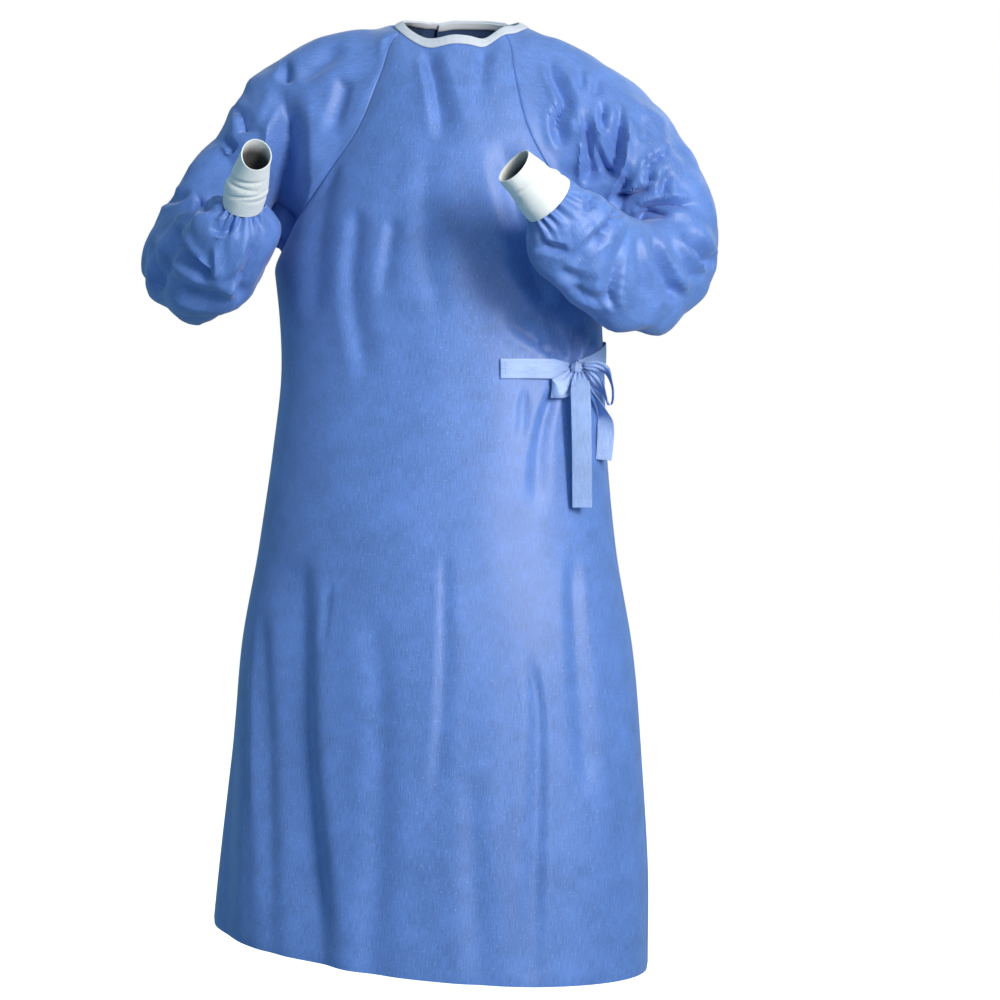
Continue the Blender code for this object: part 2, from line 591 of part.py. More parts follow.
def sleeve_cloth(name, stations, cuff, side):
    """A sleeve is a tube from the armhole's loop, with the strip of collar at its top."""
    plain = [0.0]
    for index, count in enumerate(STRETCH_RINGS[:-1]):
        plain += [index + (step + 1) / count for step in range(count)]
    last = len(STRETCH_RINGS) - 1
    fine = [last + (step + 1) / STRETCH_RINGS[-1] for step in range(STRETCH_RINGS[-1])]
    tube = sleeve_grid(stations, cuff, side, 1, plain)
    gathers = sleeve_grid(stations, cuff, side, 2, fine)
    middles = gathers.mean(axis=1, keepdims=True)
    gathers = gathered(gathers, middles, np.array(fine) - last)

    points = list(tube.reshape(-1, 3))
    faces = grid_faces(len(plain), SLEEVE_COLUMNS, closed=True)
    start = len(points)
    foot = start - SLEEVE_COLUMNS
    points += list(gathers.reshape(-1, 3))
    for column in range(SLEEVE_COLUMNS):
        a, b = foot + column, foot + (column + 1) % SLEEVE_COLUMNS
        c, d = start + 2 * column, start + 2 * column + 1
        e = start + (2 * column + 2) % GATHER_COLUMNS
        faces += [(a, d, c), (a, b, d), (b, e, d)]
    ring_faces = grid_faces(len(fine), GATHER_COLUMNS, closed=True)
    faces += [tuple(corner + start for corner in face) for face in ring_faces]

    _, turns = seam_loop(side)
    start = len(points)
    points += list(neck_edge(turns))
    for step in range(NECK_SEGMENTS):
        low = YOKE_ROWS + step
        faces.append((start + step, start + step + 1, low + 1, low))
    cloth = Cloth(name, points, faces, SLEEVE_BLUE)
    if side > 0:
        cloth.flip()
    return cloth


def cuff_cloth(name, stations, cuff, side):
    """A knitted cuff: a tube from the sleeve's end to its own opening."""
    angles = np.linspace(0, 2 * math.pi, SLEEVE_COLUMNS, endpoint=False)
    last = len(stations) - 1
    middle, reach, forward = station_frame(stations, last, cuff, side)
    axis = unit(cuff.axis)
    reach, forward = unit(reach), unit(forward)
    shares = np.linspace(0, 1, CUFF_ROWS + 1)
    radii = through([0, 0.5, 1], [[[cuff.base]], [[cuff.middle]], [[cuff.opening]]], shares)[:, 0, 0]
    lines = []
    for share, radius in zip(shares, radii):
        centre = middle + axis * (SEAM_GAP + share * cuff.length)
        lines.append(
            centre - radius * np.cos(angles)[:, None] * reach + radius * np.sin(angles)[:, None] * forward
        )
    grid = np.stack(lines)
    cloth = Cloth(
        name, grid.reshape(-1, 3), grid_faces(len(shares), SLEEVE_COLUMNS, closed=True),
        CUFF_WHITE, CUFF_WALL,
    )
    if side > 0:
        cloth.flip()
    radial = grid - (middle + axis * (SEAM_GAP + shares[:, None] * cuff.length))[:, None]
    cloth.normals = unit(radial.reshape(-1, 3))
    return cloth


def collar_columns(outer, inner, front, left, right):
    """The top two rows of the pieces round the neck, from the outer back's free end, over the
    right shoulder, the front and the left shoulder, to the inner back's free end."""
    def panel(cloth, columns):
        count = columns + 1
        top = np.arange(len(cloth.points) - count, len(cloth.points))
        return [(cloth, high, high - count) for high in top]

    def sleeve(cloth):
        top = np.arange(len(cloth.points) - NECK_SEGMENTS - 1, len(cloth.points))
        return [(cloth, high, YOKE_ROWS + step) for step, high in enumerate(top)]

    columns = panel(outer, OUTER_BACK_COLUMNS)[::-1]
    columns += sleeve(right)[::-1][1:]
    columns += panel(front, FRONT_COLUMNS)[1:]
    columns += sleeve(left)[1:]
    columns += panel(inner, INNER_BACK_COLUMNS)[::-1][1:]
    tops = np.array([cloth.points[high] for cloth, high, _ in columns])
    feet = np.array([cloth.points[low] for cloth, _, low in columns])
    top_out = np.array([cloth.normals[high] for cloth, high, _ in columns])
    foot_out = np.array([cloth.normals[low] for cloth, _, low in columns])
    return tops, feet, top_out, foot_out


def binding_object(columns, collection):
    """Bias tape folded over the neck edge: a channel with one leg outside the cloth, one inside."""
    tops, feet, top_out, foot_out = columns
    up = unit(tops - feet)
    leg = BINDING_LEG / COLLAR_DEPTH
    low = mix(tops, feet, leg)
    low_out = mix(top_out, foot_out, leg)
    outside = BINDING_GAP
    inside = -WALL - BINDING_GAP
    section = [
        low + low_out * (outside + BINDING_WALL),
        tops + top_out * (outside + BINDING_WALL) + up * BINDING_GAP,
        tops + top_out * (outside + inside) / 2 + up * (BINDING_GAP + 1.3 * BINDING_WALL),
        tops + top_out * (inside - BINDING_WALL) + up * BINDING_GAP,
        low + low_out * (inside - BINDING_WALL),
        low + low_out * inside,
        tops + top_out * inside + up * BINDING_GAP,
        tops + top_out * outside + up * BINDING_GAP,
        low + low_out * outside,
    ]
    sides = len(section)
    points = np.stack(section, axis=1).reshape(-1, 3)
    faces = [face[::-1] for face in grid_faces(len(tops), sides, closed=True)]
    ends = (tuple(range(sides)), tuple(range(len(points) - sides, len(points))))
    faces += [ends[0], ends[1][::-1]]
    return add_object("neck_binding", points, faces, BINDING_WHITE, CLOTH_ROUGHNESS, collection)


def outward_faces(mesh):
    """Triangulates a closed mesh and points its faces out."""
    work = bmesh.new()
    work.from_mesh(mesh)
    bmesh.ops.triangulate(work, faces=work.faces)
    bmesh.ops.recalc_face_normals(work, faces=work.faces)
    work.to_mesh(mesh)
    work.free()


class Surface:
    """What a strap lies on: the outermost of some pieces, met from outside."""

    def __init__(self, cloths):
        points, faces = [], []
        for cloth in cloths:
            faces += [tuple(corner + len(points) for corner in face) for face in cloth.faces]
            points += [Vector(point) for point in cloth.points]
        self.tree = BVHTree.FromPolygons(points, faces)

    def from_side(self, axis_x, angle, z):
        """Distance from the body's axis to its skin, at an angle from the front towards +X."""
        away = Vector((math.sin(angle), -math.cos(angle), 0.0))
        start = Vector((axis_x, 0.0, z)) + away
        hit = self.tree.ray_cast(start, -away)
        return 1.0 - hit[3]


def strap_object(name, middles, across, widths, collection, outward=None):
    """A flat strap: middles of its outer face, the way across it, and its width at each."""
    middles = np.asarray(middles, float)
    across = unit(across)
    along = unit(np.gradient(middles, axis=0))
    across = unit(across - (across * along).sum(axis=1, keepdims=True) * along)
    facing = unit(np.cross(along, across))
    if outward is not None and (facing[0] @ np.asarray(outward)) < 0:
        facing = -facing
    half = np.asarray(widths)[:, None] / 2
    section = [
        middles - across * half,
        middles + across * half,
        middles + across * half - facing * WALL,
        middles - across * half - facing * WALL,
    ]
    points = np.stack(section, axis=1).reshape(-1, 3)
    faces = grid_faces(len(middles), 4, closed=True)
    faces += [(3, 2, 1, 0), tuple(range(len(points) - 4, len(points)))]
    made = add_object(name, points, faces, TIE_BLUE, CLOTH_ROUGHNESS, collection)
    outward_faces(made.data)
    return made


def knot_object(collection):
    """The knot: a rounded, slightly square lump of pulled strap."""
    work = bmesh.new()
    bmesh.ops.create_uvsphere(work, u_segments=16, v_segments=10, radius=1.0)
    for vertex in work.verts:
        size = sum(abs(part) ** KNOT_SQUARENESS for part in vertex.co) ** (1 / KNOT_SQUARENESS)
        vertex.co = [part / size * half for part, half in zip(vertex.co, KNOT_HALF)]
    mesh = bpy.data.meshes.new("tie_knot")
    work.to_mesh(mesh)
    work.free()
    mesh.shade_smooth()
    mesh.materials.append(material("tie_knot", TIE_BLUE, CLOTH_ROUGHNESS))
    made = bpy.data.objects.new("tie_knot", mesh)
    made.location = KNOT_CENTRE
    collection.objects.link(made)
    return made


def body_axis(z):
    """The middle between the side seams at a height."""
    heights = [level.z_mid for level in LEVELS]
    middles = [(level.x_right + level.x_left) / 2 for level in LEVELS]
    return float(np.interp(z, heights, middles))


def lying(surface, angles, heights, lifts, bridge=0):
    """Middles of a strap's outer face, where it lies on the body round the axis. It bridges steps,
    such as a panel's free edge, from the given count of places on each side."""
    half = TIE_WIDTH / 2
    reach = []
    for angle, z in zip(angles, heights):
        reach.append(max(surface.from_side(body_axis(z), angle, z + step) for step in (-half, 0.0, half)))
    if bridge:
        padded = np.pad(reach, bridge + 1, mode="edge")
        widest = np.max([padded[shift : shift + len(reach) + 2] for shift in range(2 * bridge + 1)], axis=0)
        reach = (widest[:-2] + widest[1:-1] + widest[2:]) / 3
    reach = np.array(reach) + lifts + WALL
    axes = np.array([body_axis(z) for z in heights])
    return np.stack([axes + reach * np.sin(angles), -reach * np.cos(angles), heights], axis=-1)


def angle_of(x, y, z):
    return math.atan2(x - body_axis(z), -y)


def tie_objects(cloths, collection):
    """The two waist ties, which lie on the gown and meet at the knot."""
    surface = Surface(cloths)
    knot = np.array(KNOT_CENTRE)
    half = np.array(KNOT_HALF)
    up = np.array([0.0, 0.0, 1.0])

    # From its stitched end on the front to the knot
    count = 14
    start = angle_of(*TIE_FRONT_START, TIE_Z)
    end = angle_of(knot[0] - half[0] - SEAM_GAP, knot[1], TIE_Z)
    shares = np.linspace(0, 1, count)
    lifts = mix(TIE_SEWN_CLEARANCE, TIE_LIFT, smoothstep(1.6 * shares - 0.4))
    widths = mix(TIE_WIDTH, TIE_PINCHED, smoothstep(3.5 * shares - 2.5))
    middles = lying(surface, mix(start, end, shares), np.full(count, TIE_Z), lifts)
    strap_object("tie_front", middles, np.tile(up, (count, 1)), widths, collection, (0, -1, 0))

    # From the knot round the wearer's left side to the free edge of the outer back
    count = 26
    start = angle_of(knot[0] + half[0] + SEAM_GAP, knot[1] + half[1] / 2, TIE_Z)
    shares = np.linspace(0, 1, count)
    heights = mix(knot[2] + TIE_SIDE_RISE / 8, knot[2] + TIE_SIDE_RISE, smoothstep(1.5 * shares))
    lifts = mix(TIE_CLEARANCE, TIE_LIFT, smoothstep(1 - 6 * shares))
    widths = mix(TIE_PINCHED, TIE_WIDTH, smoothstep(4 * shares))
    middles = lying(surface, mix(start, TIE_SIDE_END, shares), heights, lifts, 2)
    strap_object("tie_side", middles, np.tile(up, (count, 1)), widths, collection, (1, -1, 0))


def bow_objects(collection):
    """The loops and free ends of the bow."""
    for name, bends in BOW_STRAPS.items():
        rows = np.array(bends)[:, None]
        at = np.linspace(0, len(bends) - 1, STEPS_BETWEEN_BENDS * (len(bends) - 1) + 1)
        route = through(np.arange(len(bends)), rows, at)[:, 0]
        middles = np.array(KNOT_CENTRE) + route[:, :3]
        strap_object(name, middles, route[:, 3:6], route[:, 6], collection, BOW_FACING[name])


def main():
    for old in list(bpy.data.objects):
        bpy.data.objects.remove(old)
    collection = bpy.data.collections.new("surgical_gown")
    bpy.context.scene.collection.children.link(collection)

    front = front_cloth()
    outer, inner = back_cloths()
    left = sleeve_cloth("sleeve_left", SLEEVE_LEFT, CUFF_LEFT, 1)
    right = sleeve_cloth("sleeve_right", SLEEVE_RIGHT, CUFF_RIGHT, -1)
    sewn = [front, outer, inner, left, right]
    share_normals(sewn)
    for cloth in sewn:
        cloth.points = folded(cloth.points, cloth.normals)
    share_normals(sewn)
    collar = collar_columns(outer, inner, front, left, right)
    for cloth in sewn:
        pull_back(cloth, SEAM_GAP / 2)
        build_wall(cloth, collection)
    for name, stations, cuff, side in (
        ("cuff_left", SLEEVE_LEFT, CUFF_LEFT, 1), ("cuff_right", SLEEVE_RIGHT, CUFF_RIGHT, -1),
    ):
        build_wall(cuff_cloth(name, stations, cuff, side), collection, KNIT_ROUGHNESS)
    binding_object(collar, collection)
    knot_object(collection)
    tie_objects([front, outer, inner], collection)
    bow_objects(collection)


main()
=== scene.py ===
"""Looks of a surgical gown with raglan sleeves, filled out as it is when worn, with nobody in it.

Metres, +Z up. The front faces -Y and the wearer's left is +X. The origin is the middle of the neck
opening. Each piece of cloth is a thin wall on the smooth surface through its solid's own sections,
with its creases pressed into it.
"""

import math
from collections import namedtuple

import bmesh
import bpy
import numpy as np
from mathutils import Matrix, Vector
from mathutils.bvhtree import BVHTree


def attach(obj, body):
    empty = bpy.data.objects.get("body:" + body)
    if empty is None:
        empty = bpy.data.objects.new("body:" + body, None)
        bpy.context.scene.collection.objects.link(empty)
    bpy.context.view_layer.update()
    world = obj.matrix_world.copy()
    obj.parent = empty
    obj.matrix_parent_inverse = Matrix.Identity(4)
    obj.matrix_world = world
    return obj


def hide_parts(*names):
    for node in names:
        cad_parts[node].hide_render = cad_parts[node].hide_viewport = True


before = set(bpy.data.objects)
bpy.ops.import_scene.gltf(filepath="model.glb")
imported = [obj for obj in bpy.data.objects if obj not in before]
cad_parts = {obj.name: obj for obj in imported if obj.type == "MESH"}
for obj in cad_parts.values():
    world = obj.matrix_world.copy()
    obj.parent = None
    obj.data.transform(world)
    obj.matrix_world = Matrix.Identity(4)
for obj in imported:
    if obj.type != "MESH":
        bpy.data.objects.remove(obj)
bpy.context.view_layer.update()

# Cloth, knit and strap thicknesses
CLOTH = 0.0007
KNIT = 0.0014
STRAP = 0.0007
SEAM_GAP = 0.0003
SEAM_DIP = 0.0012

# The neck edge and the straight band of cloth below it
NECK_HALF_WIDTH = 0.077
NECK_CENTRE_X = -0.002
NECK_FRONT = 0.070
NECK_BACK = 0.062
NECK_MEAN_Z = -0.0004
NECK_BACK_RISE = 0.01775
NECK_SIDE_RISE = 0.0034
NECK_TILT = 0.0040
COLLAR_DEPTH = 0.015
COLLAR_LEAN = 0.50
COLLAR_SIDE_LEAN = 0.35
COLLAR_KNOTS = (-0.0285, -0.0135)
FRONT_RAGLAN_TURN = math.radians(54)
BACK_RAGLAN_TURN = math.radians(132)

# Neck binding
BINDING_LEG = 0.0125
BINDING_WALL = 0.0010
BINDING_GAP = 0.0006

# Shares of the back's width where its two halves end, and how far the outer one stands off
OUTER_BACK_END = 0.75
INNER_BACK_END_HEM = -0.30
INNER_BACK_END_NECK = -0.72
OUTER_BACK_OUTSET = 0.0055
OUTSET_SHARE = 0.25

# Grid steps of the solids, and how many finer steps of the cloth each one holds
FRONT_COLUMNS = 24
OUTER_BACK_COLUMNS = 16
INNER_BACK_COLUMNS = 12
SKIRT_ROWS = 14
YOKE_ROWS = 12
NECK_SEGMENTS = 8
SLEEVE_COLUMNS = 2 * YOKE_ROWS + NECK_SEGMENTS
FINE_COLUMNS = 6
FINE_SKIRT = 8
FINE_YOKE = 6
FINE_COLLAR = 3
FINE_RINGS = 8
EASING_ROUNDS = 36
STRETCH_RINGS = (3, 2, 2, 2, 2, 2, 2, 2, 4)
CUFF_STEPS = 9
CUFF_ROWS = 54

Level = namedtuple("Level", "z_right z_mid z_left x_right x_left y_side y_front y_back")
LEVELS = (
    Level(-1.168, -1.194, -1.214, -0.3355, 0.2405, 0.005, -0.200, 0.190),
    Level(-1.060, -1.070, -1.085, -0.3240, 0.2415, 0.004, -0.192, 0.182),
    Level(-0.930, -0.935, -0.945, -0.3080, 0.2340, 0.002, -0.182, 0.170),
    Level(-0.800, -0.800, -0.800, -0.2965, 0.2210, 0.000, -0.172, 0.157),
    Level(-0.670, -0.670, -0.670, -0.2720, 0.1995, -0.002, -0.160, 0.145),
    Level(-0.550, -0.550, -0.550, -0.2530, 0.1890, -0.004, -0.149, 0.134),
    Level(-0.445, -0.445, -0.445, -0.2415, 0.1865, -0.005, -0.140, 0.128),
    Level(-0.370, -0.370, -0.370, -0.2450, 0.1835, -0.005, -0.140, 0.128),
    Level(-0.3185, -0.3185, -0.3185, -0.2510, 0.1850, -0.005, -0.142, 0.128),
)
Row = namedtuple("Row", "x_right y_right z_right x_left y_left z_left y_mid z_mid sweep")
FRONT_YOKE = (
    Row(-0.214, -0.062, -0.265, 0.172, -0.060, -0.265, -0.145, -0.265, math.radians(75)),
    Row(-0.160, -0.098, -0.203, 0.140, -0.094, -0.203, -0.142, -0.205, math.radians(60)),
    Row(-0.110, -0.108, -0.138, 0.108, -0.103, -0.138, -0.132, -0.142, math.radians(50)),
    Row(-0.088, -0.087, -0.072, 0.088, -0.084, -0.072, -0.112, -0.082, math.radians(50)),
)
BACK_YOKE = (
    Row(-0.222, 0.058, -0.265, 0.172, 0.058, -0.265, 0.131, -0.265, math.radians(75)),
    Row(-0.180, 0.090, -0.203, 0.150, 0.090, -0.203, 0.134, -0.203, math.radians(60)),
    Row(-0.134, 0.104, -0.138, 0.122, 0.104, -0.138, 0.130, -0.138, math.radians(50)),
    Row(-0.098, 0.086, -0.068, 0.096, 0.086, -0.068, 0.109, -0.068, math.radians(50)),
)
Station = namedtuple("Station", "outer inner half_width")
SLEEVE_LEFT = (
    Station((0.153, 0.002, -0.031), (0.200, 0.000, -0.3160), 0.100),
    Station((0.237, 0.000, -0.088), (0.213, -0.006, -0.3000), 0.088),
    Station((0.297, 0.002, -0.166), (0.226, -0.018, -0.2800), 0.080),
    Station((0.327, 0.016, -0.244), (0.236, -0.040, -0.2635), 0.068),
    Station((0.317, 0.007, -0.331), (0.248, -0.068, -0.2670), 0.053),
    Station((0.272, -0.088, -0.398), (0.240, -0.097, -0.2535), 0.054),
    Station((0.212, -0.189, -0.383), (0.212, -0.130, -0.2370), 0.059),
    Station((0.165, -0.242, -0.315), (0.200, -0.180, -0.2300), 0.050),
    Station((0.150, -0.250, -0.271), (0.180, -0.2245, -0.2200), 0.032),
)
SLEEVE_RIGHT = (
    Station((-0.174, -0.007, -0.004), (-0.264, 0.000, -0.3160), 0.100),
    Station((-0.271, -0.011, -0.050), (-0.277, -0.004, -0.3030), 0.088),
    Station((-0.327, -0.006, -0.122), (-0.290, -0.014, -0.2860), 0.080),
    Station((-0.393, -0.013, -0.227), (-0.298, -0.036, -0.2720), 0.070),
    Station((-0.419, -0.043, -0.314), (-0.298, -0.064, -0.2600), 0.066),
    Station((-0.342, -0.118, -0.377), (-0.286, -0.098, -0.2440), 0.068),
    Station((-0.262, -0.185, -0.361), (-0.267, -0.130, -0.2340), 0.065),
    Station((-0.230, -0.222, -0.294), (-0.252, -0.160, -0.2260), 0.050),
    Station((-0.226, -0.2194, -0.2574), (-0.2387, -0.185, -0.2250), 0.0245),
)
Cuff = namedtuple("Cuff", "axis length base middle opening")
CUFF_LEFT = Cuff((-0.565, -0.556, 0.613), 0.062, 0.0320, 0.0285, 0.0245)
CUFF_RIGHT = Cuff((0.320, -0.586, 0.743), 0.077, 0.0240, 0.0265, 0.0245)

# Gathers where a sleeve is sewn to its cuff: how many, how high, and how far they run
GATHERS = 15
GATHER_HEIGHT = 0.0032
GATHER_LENGTH = 0.036

# Waist ties and bow
TIE_WIDTH = 0.0245
TIE_PINCHED = 0.016
TIE_CLEARANCE = 0.0012
TIE_Z = -0.4450
TIE_FRONT_START = (0.073, -0.118)
TIE_SIDE_END = math.radians(118)
TIE_LIFT = 0.0045
TIE_SIDE_RISE = 0.024
KNOT_CENTRE = (0.1665, -0.0790, -0.4440)
KNOT_HALF = (0.0095, 0.0065, 0.0085)
Bend = namedtuple("Bend", "x y z across_x across_y across_z width")
BOW_STRAPS = {
    "bow_loop_front": (
        Bend(-0.0050, -0.0074, -0.0045, -0.75, 0.00, 0.60, 0.0100),
        Bend(-0.0120, -0.0160, -0.0150, -0.70, 0.00, 0.70, 0.0190),
        Bend(-0.0205, -0.0222, -0.0245, -0.20, 0.00, 1.00, 0.0235),
        Bend(-0.0280, -0.0185, -0.0255, 0.00, 0.00, 1.00, 0.0245),
        Bend(-0.0205, -0.0145, -0.0262, -0.05, 0.00, 1.00, 0.0235),
        Bend(-0.0110, -0.0125, -0.0255, -0.20, 0.00, 0.95, 0.0200),
        Bend(-0.0010, -0.0088, -0.0150, -0.70, 0.00, 0.70, 0.0110),
    ),
    "bow_tail_front": (
        Bend(0.0050, -0.0062, -0.0050, 1.00, 0.00, 0.00, 0.0090),
        Bend(0.0080, -0.0200, -0.0170, 1.00, 0.12, 0.00, 0.0200),
        Bend(0.0094, -0.0205, -0.0300, 1.00, 0.14, 0.00, 0.0245),
        Bend(0.0102, -0.0165, -0.1000, 1.00, 0.16, 0.00, 0.0245),
        Bend(0.0100, -0.0130, -0.1745, 1.00, 0.14, 0.00, 0.0245),
    ),
    "bow_loop_side": (
        Bend(0.0104, 0.0010, 0.0030, 0.00, 0.00, 1.00, 0.0080),
        Bend(0.0225, 0.0190, 0.0025, 0.40, -0.40, 0.80, 0.0140),
        Bend(0.0315, 0.0335, -0.0060, 0.30, -0.85, 0.30, 0.0190),
        Bend(0.0372, 0.0425, -0.0240, 0.30, -0.95, 0.00, 0.0210),
        Bend(0.0372, 0.0435, -0.0410, 0.30, -0.95, 0.00, 0.0220),
        Bend(0.0335, 0.0425, -0.0455, 0.30, -0.95, 0.00, 0.0220),
        Bend(0.0290, 0.0400, -0.0340, 0.30, -0.90, 0.10, 0.0210),
        Bend(0.0185, 0.0300, -0.0150, 0.60, -0.40, 0.60, 0.0160),
        Bend(0.0104, 0.0110, -0.0040, 0.20, 0.00, 0.95, 0.0080),
    ),
    "bow_tail_side": (
        Bend(0.0060, 0.0020, -0.0078, 0.24, -0.97, 0.00, 0.0080),
        Bend(0.0160, 0.0190, -0.0290, 0.30, -0.95, 0.00, 0.0140),
        Bend(0.0262, 0.0370, -0.0545, 0.60, -0.60, 0.00, 0.0190),
        Bend(0.0292, 0.0420, -0.0740, 0.90, 0.05, 0.00, 0.0210),
        Bend(0.0288, 0.0420, -0.0955, 0.92, 0.25, 0.00, 0.0210),
        Bend(0.0270, 0.0400, -0.1160, 0.90, 0.20, 0.05, 0.0200),
    ),
}
BOW_FACING = {
    "bow_loop_front": (0, -1, 0), "bow_tail_front": (0, -1, 0),
    "bow_loop_side": (0, 0, 1), "bow_tail_side": (-1, 0, 0),
}

# The camera: its turn to the wearer's left, distance and height, the width that it sees there, and
# how far the picture's middle lies from the origin
VIEW_TURN = math.radians(14)
VIEW_DISTANCE = 3.4
VIEW_HEIGHT = -0.5
VIEW_WIDTH = 1.3
VIEW_RIGHT = 0.0481
VIEW_DOWN = 0.6136
SENSOR = 36.0
BACK_TURN = math.radians(194)

